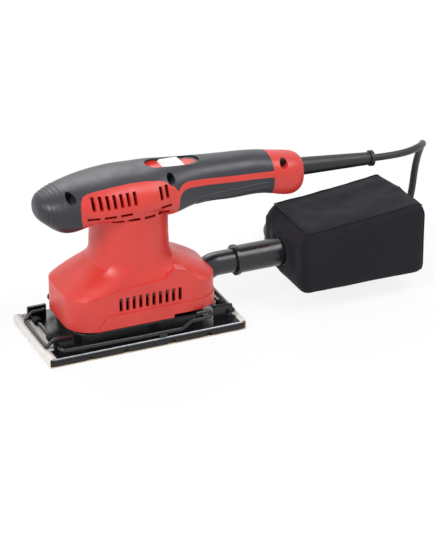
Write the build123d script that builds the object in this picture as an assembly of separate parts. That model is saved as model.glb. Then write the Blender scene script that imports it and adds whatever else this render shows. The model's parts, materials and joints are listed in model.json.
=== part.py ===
from build123d import *
import math
import os

# Orbital sander. X runs from the nose (-X) to the cord end (+X), -Y is the left side,
# and the origin is the centre of the sanding face.

# Clearances
seat_gap = 0.15
run_gap = 0.05
face_gap = 0.05
slide_gap = 0.3

# Sanding base
abrasive_thickness = 0.8
pad_length = 183.4
pad_width = 92.0
pad_thickness = 5.2
pad_corner = 4.0
notch_spots = (-56.0, -22.0, 22.0, 56.0)
notch_width = 4.0
notch_height = 3.6
notch_depth = 5.0
paper_flap = 15.0
plate_thickness = 2.6
deck_length = 122.0
deck_width = 66.0
deck_height = 10.8
deck_corner = 14.0
deck_edge = 3.0
race_lip = 3.0
cover_overlap = 5.0
base_screw_spots = ((-52.0, 0.0), (52.0, 0.0), (-24.0, 26.0), (24.0, 26.0), (-24.0, -26.0), (24.0, -26.0))
base_screw_radius = 2.0
base_screw_head = 3.6
base_screw_cover = 1.5

# Housing
skirt_gap = 3.6
skirt_front = 68.0
skirt_rear = 71.5
skirt_half_width = 39.5
skirt_corner = 24.0
neck_flat = 0.4
shoulder_rows = (
    (0.0, 0.0),
    (0.07, 0.11),
    (0.2, 0.35),
    (0.36, 0.71),
    (0.48, 0.9),
    (0.65, 0.98),
    (1.0, 1.0),
)
side_wall_top = 52.0
side_line = (
    (-58.0, 48.0),
    (-52.0, 53.5),
    (-27.0, 58.0),
    (18.0, 61.5),
    (23.5, 67.0),
    (31.0, 69.0),
    (38.5, 66.0),
    (48.5, 56.0),
    (58.0, 48.0),
)
side_line_round = 2.5
neck_base = 96.0
neck_top = 126.0
neck_radius = 34.5
housing_wall = 3.0
band_proud = 0.8
band_top = 36.0
lever_notch = 3.0
rib_bite = 1.0

# Handle: nose tip and end face, axis height, then stations of
# (x, half width, centre above the axis, rise to the top, drop to the bottom)
handle_axis = 130.0
handle_power = 2.3
handle_wall = 4.2
grip_thickness = 2.0
grip_gap = 0.1
handle_stations = (
    (-86.0, 7.0, 1.5, 5.0, 5.0),
    (-83.0, 14.0, 0.5, 10.4, 9.4),
    (-76.0, 21.2, -1.2, 15.6, 13.6),
    (-64.0, 27.2, -1.5, 19.6, 20.0),
    (-48.0, 32.0, -0.8, 22.2, 17.2),
    (-24.0, 35.8, -0.2, 24.6, 16.5),
    (2.0, 35.8, 0.0, 25.0, 16.5),
    (24.0, 32.6, 0.3, 24.6, 18.5),
    (46.0, 25.8, 1.2, 22.4, 21.2),
    (66.0, 21.8, 1.5, 20.9, 18.8),
    (97.0, 20.0, 0.2, 20.0, 19.8),
    (127.0, 19.3, -2.0, 19.0, 18.8),
    (148.0, 20.2, -6.4, 19.2, 19.2),
    (158.5, 17.2, -6.2, 16.6, 17.0),
    (163.0, 10.0, -4.2, 10.0, 10.0),
)
cap_line = 131.0

# Vents
vent_width = 3.2
panel_vents = (-45.0, -38.8, -32.6, -26.4, -20.2, -14.0, -7.8, 16.5, 22.7)
panel_vent_low = 134.5
panel_vent_high = 145.5
panel_vent_depth = 16.0
ledge_vent_length = 11.0
ledge_vent_height = 2.6
ledge_vent_rows = ((126.0, (-44.0, -29.5, -15.0, 23.0)), (119.5, (-22.0, -7.5, 7.0, 21.5)))
skirt_vent_count = 10
skirt_vent_first = -25.0
skirt_vent_pitch = 6.15
skirt_vent_low = 38.5
skirt_vent_height = 12.5

# Housing screws across the split, at (x, z, how far out the head seats)
housing_screw_spots = ((-60.0, 144.0, 9.0), (31.0, 147.5, 13.0), (141.5, 138.6, 9.0))
housing_screw_radius = 2.0
housing_screw_head = 3.6
screw_head_height = 2.4
screw_boss_radius = 5.0

# Switch
pocket_front = 16.0
pocket_rear = 66.0
pocket_half_width = 9.5
pocket_floor = 150.6
pocket_floor_thickness = 3.0
knob_front = 31.0
knob_length = 20.0
knob_top = 152.7
knob_edge = 0.9
knob_travel = 7.0
stem_length = 6.0
stem_offset = 16.0
stem_half_width = 2.4
switch_front = 26.0
switch_length = 34.0
switch_half_width = 8.0
switch_height = 16.0
switch_top = 141.0

# Motor and eccentric
orbit_radius = 1.0
motor_axis = -orbit_radius
shaft_radius = 5.0
shaft_top_radius = 4.0
shaft_top = 136.8
stub_radius = 6.0
stator_radius = 29.5
stator_bore = 20.8
stator_low = 76.0
stator_height = 30.0
stator_yoke = 2.5
window_inner = 4.0
window_outer = 15.0
winding_gap = 0.2
stator_ledge = 3.0
ledge_bite = 1.2
field_coil_height = 5.0
core_radius = 20.2
core_slots = 12
slot_depth = 6.0
slot_half_width = 1.2
winding_inset = 2.0
commutator_radius = 11.0
commutator_bars = 12
bar_gap_half = 0.4
commutator_low = 114.0
commutator_height = 11.0
brush_width = 6.0
brush_height = 7.0
brush_length = 13.0
holder_wall = 2.0
holder_length = 16.0
fan_radius = 29.0
fan_low = 57.5
fan_height = 9.0
fan_blades = 9
blade_thickness = 1.6
fan_disc = 2.0
dust_fan_radius = 31.0
dust_fan_height = 10.0
weight_radius = 25.0
weight_height = 8.0
weight_hub = 9.0
layer_gap = 2.4
cover_thickness = 0.8
cover_gap = 0.3
shaft_flange = 8.0

# Bearings: bore radius, outer radius, width
upper_bearing = (4.0, 11.0, 7.0)
lower_bearing = (5.0, 13.0, 8.0)
base_bearing = (6.0, 14.0, 8.0)
ring_thickness = 2.2
ball_count = 8
web_thickness = 9.0
web_half_length = 20.0
web_bore = 7.0

# Baffle plate and rubber feet
baffle_length = 110.0
baffle_width = 65.0
baffle_corner = 16.0
baffle_low = 44.0
baffle_thickness = 3.0
hub_radius = 17.0
hub_height = 11.0
foot_radius = 7.0
foot_waist = 5.4
foot_end = 7.0
foot_spots = ((-46.0, -22.0), (-46.0, 22.0), (46.0, -22.0), (46.0, 22.0))
boss_spots = ((-33.0, -27.0), (-33.0, 27.0), (33.0, -27.0), (33.0, 27.0))
boss_radius = 4.6
plate_screw_radius = 2.0
plate_screw_length = 14.0
plate_screw_head = 3.6

# Dust spout and bag
spout_radius = 10.75
spout_bore = 8.75
spout_axis = 46.0
spout_end = 130.0
spout_bend = 80.0
spout_root = 62.0
spout_drop = 9.0
spout_bend_radius = 15.0
flange_thickness = 3.0
flange_half_width = 15.0
flange_lift = 3.5
flange_rise = 5.0
nozzle_wall = 1.5
nozzle_front = 100.0
nozzle_rim = 3.0
nozzle_rim_proud = 1.4
nozzle_flange_radius = 17.0
nozzle_flange_thickness = 2.0
bag_front = 148.0
bag_rear = 270.0
bag_half_width = 43.0
bag_bottom = 19.5
bag_top_front = 73.0
bag_top_rear = 83.0
bag_corner = 5.0
bag_cloth = 1.2
bag_ring_thickness = 1.6
bag_ring_radius = 15.6

# Paper clamps, for the front end; the rear one is the same turned half round
lever_wire = 3.6
bail_wire = 3.2
shaft_x = -80.5
shaft_z = 14.2
bail_pivot_x = -70.0
bail_pivot_z = 18.2
bail_bar_x = -88.6
bail_half_width = 27.5
ear_y = 33.0
ear_thickness = 2.4
ear_reach = 3.4
ear_height = 12.8
arm_y = 43.8
rest_x = 13.0
rest_length = 7.0
rest_width = 4.2
rest_lift = 2.2
arm_bend_x = 32.0
loop_front = 41.0
loop_rear = 57.0
loop_low = 18.6
loop_high = 24.6
wire_bend = 4.0
spring_wire = 1.2
spring_radius = 3.2
spring_curls = 4
spring_pitch = 1.75
spring_y = 14.0

# Cord, cord guard and plug
cord_diameter = 6.5
guard_start = 160.0
guard_length = 76.0
guard_axis_z = 126.3
guard_slope = 3.9
guard_root_radius = 8.2
guard_tip_radius = 5.6
guard_rim_radius = 7.2
guard_rim = 3.0
guard_collar_radius = 11.0
guard_collar = 3.0
cord_inside = 18.0
clamp_x = 147.0
clamp_length = 8.0
clamp_half_width = 10.5
clamp_half_height = 4.6
clamp_screw_radius = 1.6
clamp_screw_y = 7.2
clamp_screw_head = 2.7
clamp_head_height = 1.6
capacitor_front = 68.0
capacitor_length = 24.0
capacitor_radius = 6.5
capacitor_drop = 5.5
lead_drop = 4.0
lead_radius = 1.2
lead_y = 1.7
coil_center = (224.0, 91.0)
coil_outer = 47.0
coil_pitch = 7.1
coil_rise = 7.0
coil_turns_each = 4.0
coil_floor = 0.4
coil_tail = 47.0
plug_length = 40.0
plug_width = 34.0
plug_tail_width = 14.0
plug_taper = 16.0
plug_corner = 5.0
pin_radius = 2.4
pin_spacing = 19.0
pin_length = 19.0
pin_gap = 0.05
plug_gap = 0.15

# Heights that follow from the stack of pieces
rim_bottom = abrasive_thickness + pad_thickness
rim_top = rim_bottom + plate_thickness
deck_top = rim_top + deck_height
skirt_bottom = deck_top + skirt_gap
stub_low = deck_top - base_bearing[2]
weight_low = deck_top + layer_gap
dust_fan_low = weight_low + weight_height + layer_gap
bail_bar_z = rim_top + abrasive_thickness + bail_wire / 2 + seat_gap
arm_z = rim_top + rest_lift + lever_wire / 2 + seat_gap
web_low = commutator_low + commutator_height + layer_gap + 2
upper_bearing_low = web_low
stator_top = stator_low + stator_height
cord_radius = cord_diameter / 2

nodes = {}


def rod(radius, low, high, at=(0.0, 0.0)):
    """An upright cylinder between two heights."""
    return Pos(at[0], at[1], (low + high) / 2) * Cylinder(radius, high - low)


def tube(radius, bore, low, high, at=(0.0, 0.0)):
    """An upright tube between two heights."""
    return rod(radius, low, high, at) - rod(bore, low - 1, high + 1, at)


def block(x, y, z):
    """A box from its three (low, high) ranges."""
    size = [high - low for low, high in (x, y, z)]
    middle = [(high + low) / 2 for low, high in (x, y, z)]
    return Pos(*middle) * Box(*size)


def span(first, second):
    """A (low, high) range from two values in either order."""
    return (min(first, second), max(first, second))


def slab(length, width, corner, low, high):
    """A flat plate with round corners, centred on Z."""
    return extrude(Plane.XY.offset(low) * RectangleRounded(length, width, corner), amount=high - low)


def side_prism(outline, reach=60.0):
    """A prism across the part from an outline in X and Z."""
    face = make_face(Polyline(*outline, close=True))
    return extrude(Plane.XZ * face, amount=reach, both=True)


def along(path, radius):
    """A round bar swept along a path."""
    start = Plane(origin=path @ 0, z_dir=path % 0)
    return sweep(start * Circle(radius), path=path)


def group(solids):
    """Several separate solids that share one node."""
    return Compound(children=[Solid(s.solid().wrapped) for s in solids])


def half_turn(shape):
    """The same piece turned half round the Z axis."""
    return Rot(0, 0, 180) * shape


def oval(half, far, near, power, count=16):
    """Points of a closed squarish oval; far and near are its two reaches along its second axis."""
    points = []
    for step in range(count):
        turn = 2 * math.pi * step / count
        across = math.cos(turn)
        along_it = math.sin(turn)
        reach = far if along_it >= 0 else near
        u = half * math.copysign(abs(across) ** (2 / power), across)
        v = reach * math.copysign(abs(along_it) ** (2 / power), along_it)
        points.append((u, v))
    return points


def oval_face(plane, half, far, near, power):
    return plane * make_face(Spline(*oval(half, far, near, power), periodic=True))


def skirt_section(height, share, inset):
    """One level of the skirt: a rounded rectangle at share 0, nearly the round neck at share 1."""
    half = skirt_half_width + share * (neck_radius - skirt_half_width) - inset
    rear = skirt_rear + share * (neck_radius - skirt_rear) - inset
    front = skirt_front + share * (neck_radius - skirt_front) - inset
    corner = skirt_corner + share * (neck_radius - neck_flat - skirt_corner) - inset
    outline = RectangleRounded(front + rear, 2 * half, corner)
    return Pos((rear - front) / 2, 0, height) * outline


def skirt_form(inset=0.0, drop=0.0):
    """The upright skirt, its shoulders and the round neck, made smaller by inset all round."""
    shoulder = neck_base - side_wall_top
    low = skirt_bottom - drop
    form = extrude(skirt_section(low, 0.0, inset), amount=side_wall_top - low)
    faces = []
    for rise, share in shoulder_rows:
        faces.append(skirt_section(side_wall_top + rise * shoulder, share, inset))
    neck = extrude(skirt_section(neck_base, 1.0, inset), amount=neck_top - neck_base)
    return form + [loft(faces, ruled=True), neck]


def side_panels():
    """The side walls carried up to a line that arches over the rear vents."""
    face = make_face(FilletPolyline(*side_line, radius=side_line_round, close=True))
    panels = extrude(Plane.XZ * face, amount=2 * skirt_half_width, both=True)
    return panels & extrude(skirt_section(skirt_bottom, 0.0, 0.0), amount=neck_base)


def handle_form(inset=0.0):
    """The handle and nose, made smaller by inset all round."""
    first = handle_stations[0][0]
    last = handle_stations[-1][0]
    faces = []
    for x, half, lift, rise, drop in handle_stations:
        shift = inset * (1 - 2 * (x - first) / (last - first))
        plane = Plane(origin=(x + shift, 0, handle_axis + lift), x_dir=(0, 1, 0), z_dir=(1, 0, 0))
        faces.append(oval_face(plane, half - inset, rise - inset, drop - inset, handle_power))
    return loft(faces)


def upper_grip_region():
    """Side view of the dark grip: the nose, a strip over the motor, and the top of the bar."""
    top = handle_axis + 60
    return side_prism(
        (
            (-110, 90),
            (-45, 90),
            (-45, 109),
            (-52, 118),
            (-54.5, 128),
            (-54.2, 137),
            (-53, 142),
            (-50.5, 145.4),
            (-46, 147.2),
            (-38, 148.6),
            (-24, 149.9),
            (-8, 150.5),
            (8, 150.2),
            (18, 149.2),
            (24, 147.6),
            (29, 145),
            (33, 141.4),
            (36, 137),
            (38.2, 139.4),
            (41, 141.4),
            (46, 142.4),
            (56, 141.6),
            (88, 138.2),
            (cap_line, 135),
            (cap_line, top),
            (-110, top),
        )
    )


def lower_grip_region():
    """Side view of the ribbed grip under the bar."""
    return side_prism(
        (
            (40, 108),
            (37.2, 118),
            (37.2, 130.5),
            (39.2, 134),
            (42.5, 136.2),
            (47, 136.8),
            (56, 136),
            (88, 132.8),
            (cap_line, 129.4),
            (cap_line, 90),
            (40, 90),
        )
    )


def band_region():
    """Side view of the raised band round the foot of the skirt."""
    return side_prism(
        (
            (-50, skirt_bottom - 5),
            (-36, band_top),
            (skirt_rear + 10, band_top),
            (skirt_rear + 10, skirt_bottom - 5),
        )
    )


def vents():
    """Every vent opening, cut on both sides."""
    cuts = []
    for side in (-1, 1):
        inner = side * (neck_radius - panel_vent_depth)
        outer = side * (skirt_half_width + 5)
        reach = span(inner, outer)
        for x in panel_vents:
            cuts.append(block((x, x + vent_width), reach, (panel_vent_low, panel_vent_high)))
        for height, spots in ledge_vent_rows:
            for x in spots:
                wide = (x - ledge_vent_length / 2, x + ledge_vent_length / 2)
                cuts.append(block(wide, reach, (height, height + ledge_vent_height)))
        skin = (skirt_half_width - housing_wall - 3) * side
        low_reach = span(skin, outer)
        for step in range(skirt_vent_count):
            x = skirt_vent_first + step * skirt_vent_pitch
            tall = (skirt_vent_low, skirt_vent_low + skirt_vent_height)
            cuts.append(block((x, x + vent_width), low_reach, tall))
    return cuts


def spout_path():
    """The spout's middle line: it climbs out of the skirt and turns level."""
    return FilletPolyline(
        (spout_root, 0, spout_axis - spout_drop),
        (spout_bend, 0, spout_axis),
        (spout_end, 0, spout_axis),
        radius=spout_bend_radius,
    )


def guard_plane(distance=0.0):
    """A plane square to the cord guard's axis, at a distance from its start."""
    tilt = math.radians(guard_slope)
    direction = (math.cos(tilt), 0, -math.sin(tilt))
    place = (guard_start + distance * direction[0], 0, guard_axis_z + distance * direction[2])
    return Plane(origin=place, x_dir=(0, 1, 0), z_dir=direction)


def on_guard(radius, start, end):
    """A round bar on the cord guard's axis."""
    return extrude(guard_plane(start) * Circle(radius), amount=end - start)


def screw_cuts(radius, head):
    """Room for the housing screws: a counterbore from the left side and a hole in the right boss."""
    cuts = []
    for x, z, seat in housing_screw_spots:
        cuts.append(Pos(x, 0, z) * Rot(90, 0, 0) * Cylinder(radius, 3 * seat))
        sink = Pos(x, -seat - 30, z) * Rot(90, 0, 0) * Cylinder(head, 60)
        cuts.append(sink)
    return cuts


def skirt_ribs():
    """Ledges for the stator, ribs for the spout's flange and bosses for the baffle plate."""
    wide = (-60, 60)
    solids = []
    for low in (stator_low - stator_ledge, stator_top + seat_gap):
        high = low + stator_ledge - seat_gap
        plate = block((-50, 50), wide, (low, high))
        solids.append(plate - rod(stator_radius - ledge_bite, low - 1, high + 1, (motor_axis, 0)))
    wall_reach = (spout_root + flange_thickness + seat_gap, skirt_rear)
    for side in (-1, 1):
        y = span(side * (spout_radius + 1), side * (flange_half_width + 3))
        solids.append(block(wall_reach, y, (skirt_bottom + flange_lift, spout_axis)))
    boss_low = baffle_low + baffle_thickness + seat_gap
    for spot in boss_spots:
        solids.append(rod(boss_radius, boss_low, stator_low - stator_ledge, spot))
    return [skirt_form(housing_wall - rib_bite) & (solids[0] + solids[1:])]


def handle_ribs():
    """Web for the upper bearing, rests for the switch, capacitor and cord clamp, and screw bosses."""
    wide = (-60, 60)
    at = (motor_axis, 0)
    web = block((-web_half_length, web_half_length - 4), wide, (web_low, web_low + web_thickness))
    web = web - rod(upper_bearing[1] + seat_gap, web_low - 1, web_low + upper_bearing[2] + seat_gap, at)
    solids = [web - rod(web_bore, web_low, web_low + 20, at)]
    rest = switch_top - switch_height - seat_gap
    for x in (switch_front + 2, switch_front + switch_length - 6):
        solids.append(block((x, x + 4), wide, (rest - 6, rest)))
    cradle = capacitor_z() - capacitor_radius - seat_gap
    for x in (capacitor_front + 2, capacitor_front + capacitor_length - 5):
        solids.append(block((x, x + 3), wide, (cradle - 12, cradle)))
    clamp_under = clamp_z() - clamp_half_height - seat_gap
    clamp_reach = (clamp_x - clamp_length / 2, clamp_x + clamp_length / 2)
    solids.append(block(clamp_reach, wide, (clamp_under - 15, clamp_under)))
    solids.append(
        block(
            (pocket_front - 2, pocket_rear + 2),
            (-pocket_half_width - 2, pocket_half_width + 2),
            (pocket_floor - pocket_floor_thickness, pocket_floor),
        )
    )
    for x, z, _ in housing_screw_spots:
        solids.append(Pos(x, 0, z) * Rot(90, 0, 0) * Cylinder(screw_boss_radius, 60))
    form = handle_form(handle_wall - rib_bite)
    return [form & solid for solid in solids]


def capacitor_z():
    return handle_axis - capacitor_drop


def clamp_z():
    return guard_axis_z + (guard_start - clamp_x) * math.tan(math.radians(guard_slope))


def make_housing():
    """Both halves of the housing and the four grip pieces."""
    handle = handle_form()
    layer = handle - handle_form(grip_thickness)
    recess = handle - handle_form(grip_thickness + grip_gap)
    band = skirt_form(-band_proud) & band_region()
    upper = layer & upper_grip_region()
    lower = layer & lower_grip_region()
    body = skirt_form() + [handle, band, side_panels()]
    body = body - [skirt_form(housing_wall, drop=2.0), handle_form(handle_wall)]
    body = body - [recess & upper_grip_region(), recess & lower_grip_region()]
    body = body + skirt_ribs() + handle_ribs()
    cuts = vents()
    cuts += screw_cuts(housing_screw_radius + seat_gap, housing_screw_head + slide_gap)
    oval_pocket = SlotOverall(pocket_rear - pocket_front, 2 * (pocket_half_width + slide_gap))
    pocket = extrude(Pos((pocket_front + pocket_rear) / 2, 0, pocket_floor) * oval_pocket, amount=60)
    middle = knob_front + stem_offset
    slot = block(
        (middle - stem_length / 2 - knob_travel - 1, middle + stem_length / 2 + 1),
        (-stem_half_width - slide_gap, stem_half_width + slide_gap),
        (pocket_floor - 2 * pocket_floor_thickness, pocket_floor + 1),
    )
    notch_low = (skirt_bottom - 5, skirt_bottom + lever_notch)
    cuts += [pocket, slot]
    cuts.append(block((26, skirt_rear + 5), (-60, -30), notch_low))
    cuts.append(block((-skirt_front - 5, -26), (30, 60), notch_low))
    cuts.append(along(spout_path(), spout_radius + slide_gap))
    cuts.append(on_guard(guard_root_radius + slide_gap, -4.0, 12.0))
    cuts.append(on_guard(guard_collar_radius + slide_gap, -guard_collar - 1.2, -1.0))
    for spot in boss_spots:
        cuts.append(rod(plate_screw_radius + seat_gap, baffle_low, baffle_low + plate_screw_length + 2, spot))
    for y in (-clamp_screw_y, clamp_screw_y):
        cuts.append(rod(clamp_screw_radius + seat_gap, clamp_z() - 18, clamp_z(), (clamp_x, y)))
    body = body - cuts
    upper = upper - screw_cuts(housing_screw_radius + seat_gap, housing_screw_head + slide_gap) - [pocket]
    for name, side in (("left", -1), ("right", 1)):
        room = block((-120, 200), span(0, side * 80), (0, 200))
        nodes["housing_" + name] = biggest(body & room)
        nodes["grip_" + name] = biggest(upper & room)
        nodes["lower_grip_" + name] = biggest(lower & room)


def biggest(shape):
    """The largest solid of a shape that a cut may have left with crumbs."""
    return max(shape.solids(), key=lambda solid: solid.volume)


def make_screws():
    screws = []
    for x, z, seat in housing_screw_spots:
        shank = Cylinder(housing_screw_radius, 2 * seat)
        head = Cylinder(housing_screw_head, screw_head_height)
        head = Pos(0, 0, seat + screw_head_height / 2 + seat_gap) * head
        neck = Pos(0, 0, seat) * Cylinder(housing_screw_radius, 1.0)
        cross = Pos(0, 0, seat + screw_head_height) * (Box(4.4, 1.0, 1.6) + Box(1.0, 4.4, 1.6))
        screws.append(Pos(x, 0, z) * Rot(90, 0, 0) * (shank + neck + head - cross))
    nodes["housing_screws"] = group(screws)


def make_base():
    """Base plate, pad, abrasive sheet and what is fixed to them."""
    bearing_radius = base_bearing[1]
    plate = slab(pad_length, pad_width, pad_corner, rim_bottom, rim_top)
    deck = slab(deck_length, deck_width, deck_corner, rim_top, deck_top)
    deck = fillet(deck.faces().sort_by(Axis.Z)[-1].edges(), deck_edge)
    plate = plate + deck
    plate = plate - rod(bearing_radius + seat_gap, stub_low - seat_gap, deck_top + 1)
    plate = plate - rod(bearing_radius - race_lip, rim_bottom - 1, deck_top)
    for spot in base_screw_spots:
        plate = plate - rod(base_screw_radius + seat_gap, rim_bottom - 1, deck_top + 1, spot)
        plate = plate - rod(base_screw_head + seat_gap, deck_top - screw_head_height, deck_top + 1, spot)
    nodes["base_plate"] = plate
    pad = slab(pad_length, pad_width, pad_corner, abrasive_thickness, rim_bottom - face_gap)
    for x in notch_spots:
        for side in (-1, 1):
            edge = side * pad_width / 2
            y = span(edge + side, edge - side * notch_depth)
            wide = (x - notch_width / 2, x + notch_width / 2)
            pad = pad - block(wide, y, (0, abrasive_thickness + notch_height))
    for spot in base_screw_spots:
        hole_low = abrasive_thickness + base_screw_cover
        pad = pad - rod(base_screw_radius + seat_gap, hole_low, rim_bottom + 1, spot)
    nodes["foam_pad"] = pad
    half = pad_length / 2 + face_gap
    side = pad_width / 2 - 0.5
    sheet = block((-half, half), (-side, side), (0, abrasive_thickness))
    for end in (-1, 1):
        wall = span(end * half, end * (half + abrasive_thickness))
        sheet = sheet + block(wall, (-side, side), (0, rim_top + abrasive_thickness))
        lip = -shaft_x + ear_reach + 1
        layer = (rim_top, rim_top + abrasive_thickness)
        sheet = sheet + block(span(end * half, end * lip), (-side, side), layer)
        flap = span(end * half, end * (half - paper_flap))
        clear = ear_y - ear_thickness / 2 - 0.5
        sheet = sheet + block(flap, (-clear, clear), layer)
    nodes["abrasive_sheet"] = sheet
    screws = []
    for spot in base_screw_spots:
        seat = deck_top - screw_head_height
        shank = rod(base_screw_radius, abrasive_thickness + base_screw_cover + seat_gap, seat + 1, spot)
        head = rod(base_screw_head, seat + face_gap, deck_top - seat_gap, spot)
        screws.append(shank + head)
    nodes["base_screws"] = group(screws)
    rim = bearing_radius + cover_overlap
    nodes["bearing_cover"] = tube(rim, bearing_radius - race_lip, deck_top, deck_top + cover_thickness)


def make_bearing(name, sizes, low, at):
    """A ball bearing: its fixed outer ring and its running inner ring with the balls."""
    bore, radius, width = sizes
    middle = (bore + radius) / 2
    nodes[name + "_outer_ring"] = tube(radius, radius - ring_thickness, low, low + width, at)
    inner = tube(bore + ring_thickness, bore + run_gap / 2, low, low + width, at)
    room = radius - bore - 2 * ring_thickness
    ball = room / 2 - run_gap
    parts = [inner]
    for step in range(ball_count):
        turn = 2 * math.pi * step / ball_count
        place = (at[0] + middle * math.cos(turn), at[1] + middle * math.sin(turn), low + width / 2)
        parts.append(Pos(*place) * Sphere(ball))
    nodes[name + "_inner_ring"] = group(parts)


def make_fan(name, radius, low, height, blades):
    """A disc with straight radial blades round a hub on the motor shaft."""
    at = (motor_axis, 0.0)
    hub = tube(shaft_radius + 4, shaft_radius + run_gap / 2, low, low + height, at)
    fan = hub + tube(radius, shaft_radius + 3, low, low + fan_disc, at)
    thick = (-blade_thickness / 2, blade_thickness / 2)
    blade = block((shaft_radius + 3.5, radius - 0.5), thick, (low, low + height))
    nodes[name] = fan + round_motor(blade, blades)


def round_motor(shape, count):
    """Copies of a shape spread evenly round the motor shaft."""
    return [Pos(motor_axis, 0, 0) * Rot(0, 0, 360 * step / count) * shape for step in range(count)]


def make_motor():
    """Stator, armature, brushes, fans and the eccentric that drives the base."""
    at = (motor_axis, 0.0)
    flange_low = deck_top + cover_thickness + cover_gap
    shoulder = upper_bearing_low - seat_gap
    shaft = rod(shaft_flange, flange_low, weight_low - seat_gap, at)
    shaft = shaft + rod(shaft_radius, weight_low - seat_gap, shoulder, at)
    shaft = shaft + rod(shaft_top_radius, shoulder, shaft_top, at)
    shaft = shaft + rod(stub_radius, stub_low, flange_low)
    nodes["armature_shaft"] = shaft
    bolt = rod(base_bearing[0] + 3, stub_low - 3.0, stub_low - seat_gap)
    nodes["base_bolt"] = bolt
    half_disc = rod(weight_radius, weight_low, weight_low + weight_height, at)
    half_disc = half_disc & block((-60, motor_axis), (-60, 60), (0, 60))
    weight = half_disc + rod(weight_hub, weight_low, weight_low + weight_height, at)
    nodes["counterweight"] = weight - rod(shaft_radius + run_gap / 2, 0, 60, at)
    make_fan("dust_fan", dust_fan_radius, dust_fan_low, dust_fan_height, fan_blades)
    make_fan("cooling_fan", fan_radius, fan_low, fan_height, fan_blades)
    core = tube(core_radius, shaft_radius + run_gap / 2, stator_low, stator_top, at)
    slot = block(
        (core_radius - slot_depth, core_radius + 1),
        (-slot_half_width, slot_half_width),
        (stator_low - 1, stator_top + 1),
    )
    nodes["armature_core"] = core - round_motor(slot, core_slots)
    end_radius = core_radius - winding_inset
    end_bore = shaft_radius + slide_gap
    ends = [
        tube(end_radius, end_bore, stator_low - field_coil_height, stator_low - seat_gap, at),
        tube(end_radius, end_bore, stator_top + seat_gap, stator_top + field_coil_height, at),
    ]
    nodes["armature_windings"] = group(ends)
    commutator_top = commutator_low + commutator_height
    commutator = tube(commutator_radius, shaft_radius + run_gap / 2, commutator_low, commutator_top, at)
    gap = block(
        (commutator_radius - 1, commutator_radius + 1),
        (-bar_gap_half, bar_gap_half),
        (commutator_low - 1, commutator_top + 1),
    )
    nodes["commutator"] = commutator - round_motor(gap, commutator_bars)
    stator = tube(stator_radius, stator_bore, stator_low, stator_top, at)
    coils = []
    window_radius = stator_radius - stator_yoke
    ring = tube(window_radius, stator_bore - 1, stator_low - 1, stator_top + 1, at)
    coil_low = stator_low - field_coil_height
    coil_high = stator_top + field_coil_height
    coil_ring = tube(window_radius - winding_gap, stator_bore + 2 * winding_gap, coil_low, coil_high, at)
    for side in (-1, 1):
        window = block((-40, 40), span(side * window_inner, side * window_outer), (0, 150))
        stator = stator - (ring & window)
        reach = span(side * (window_inner + winding_gap), side * (window_outer - winding_gap))
        for end in (-1, 1):
            coils.append(coil_ring & block(span(0, end * 40), reach, (0, 150)))
    nodes["field_stator"] = stator
    nodes["field_coils"] = group(coils)
    holders = []
    brushes = []
    middle = commutator_low + commutator_height / 2
    for side in (-1, 1):
        start = commutator_radius + 1.2
        reach = span(side * start, side * (start + holder_length))
        outer = block(
            (motor_axis - brush_width / 2 - holder_wall, motor_axis + brush_width / 2 + holder_wall),
            reach,
            (middle - brush_height / 2 - holder_wall, web_low - seat_gap),
        )
        channel = block(
            (motor_axis - brush_width / 2 - seat_gap, motor_axis + brush_width / 2 + seat_gap),
            span(0, side * 40),
            (middle - brush_height / 2 - seat_gap, middle + brush_height / 2 + seat_gap),
        )
        holders.append(outer - channel)
        touch = commutator_radius + 0.1
        brush_reach = span(side * touch, side * (touch + brush_length))
        brush = block(
            (motor_axis - brush_width / 2, motor_axis + brush_width / 2),
            brush_reach,
            (middle - brush_height / 2, middle + brush_height / 2),
        )
        brushes.append(brush - rod(touch, 0, 200, at))
    nodes["brush_holders"] = group(holders)
    nodes["carbon_brushes"] = group(brushes)
    make_bearing("upper_bearing", upper_bearing, upper_bearing_low, at)
    make_bearing("lower_bearing", lower_bearing, baffle_low, at)
    make_bearing("base_bearing", base_bearing, stub_low, (0.0, 0.0))


def make_baffle():
    """The plate that holds the lower bearing, with its screws and the rubber feet below it."""
    at = (motor_axis, 0.0)
    top = baffle_low + baffle_thickness
    plate = slab(baffle_length, baffle_width, baffle_corner, baffle_low, top)
    plate = plate + rod(hub_radius, baffle_low, baffle_low + hub_height, at)
    seat_top = baffle_low + lower_bearing[2] + seat_gap
    plate = plate - rod(lower_bearing[1] + seat_gap, baffle_low - 1, seat_top, at)
    plate = plate - rod(lower_bearing[1] - race_lip, baffle_low - 1, baffle_low + hub_height + 1, at)
    screws = []
    for spot in boss_spots:
        plate = plate - rod(plate_screw_radius + seat_gap, baffle_low - 1, top + 1, spot)
        shank = rod(plate_screw_radius, baffle_low - 0.5, baffle_low + plate_screw_length, spot)
        head = rod(plate_screw_head, baffle_low - screw_head_height, baffle_low - face_gap, spot)
        screws.append(shank + head)
    nodes["baffle_plate"] = plate
    nodes["baffle_screws"] = group(screws)
    feet = []
    for spot in foot_spots:
        foot = rod(foot_radius, deck_top + face_gap, baffle_low - face_gap, spot)
        waist = tube(foot_radius + 1, foot_waist, deck_top + foot_end, baffle_low - foot_end, spot)
        feet.append(foot - waist)
    nodes["flexible_feet"] = group(feet)


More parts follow.
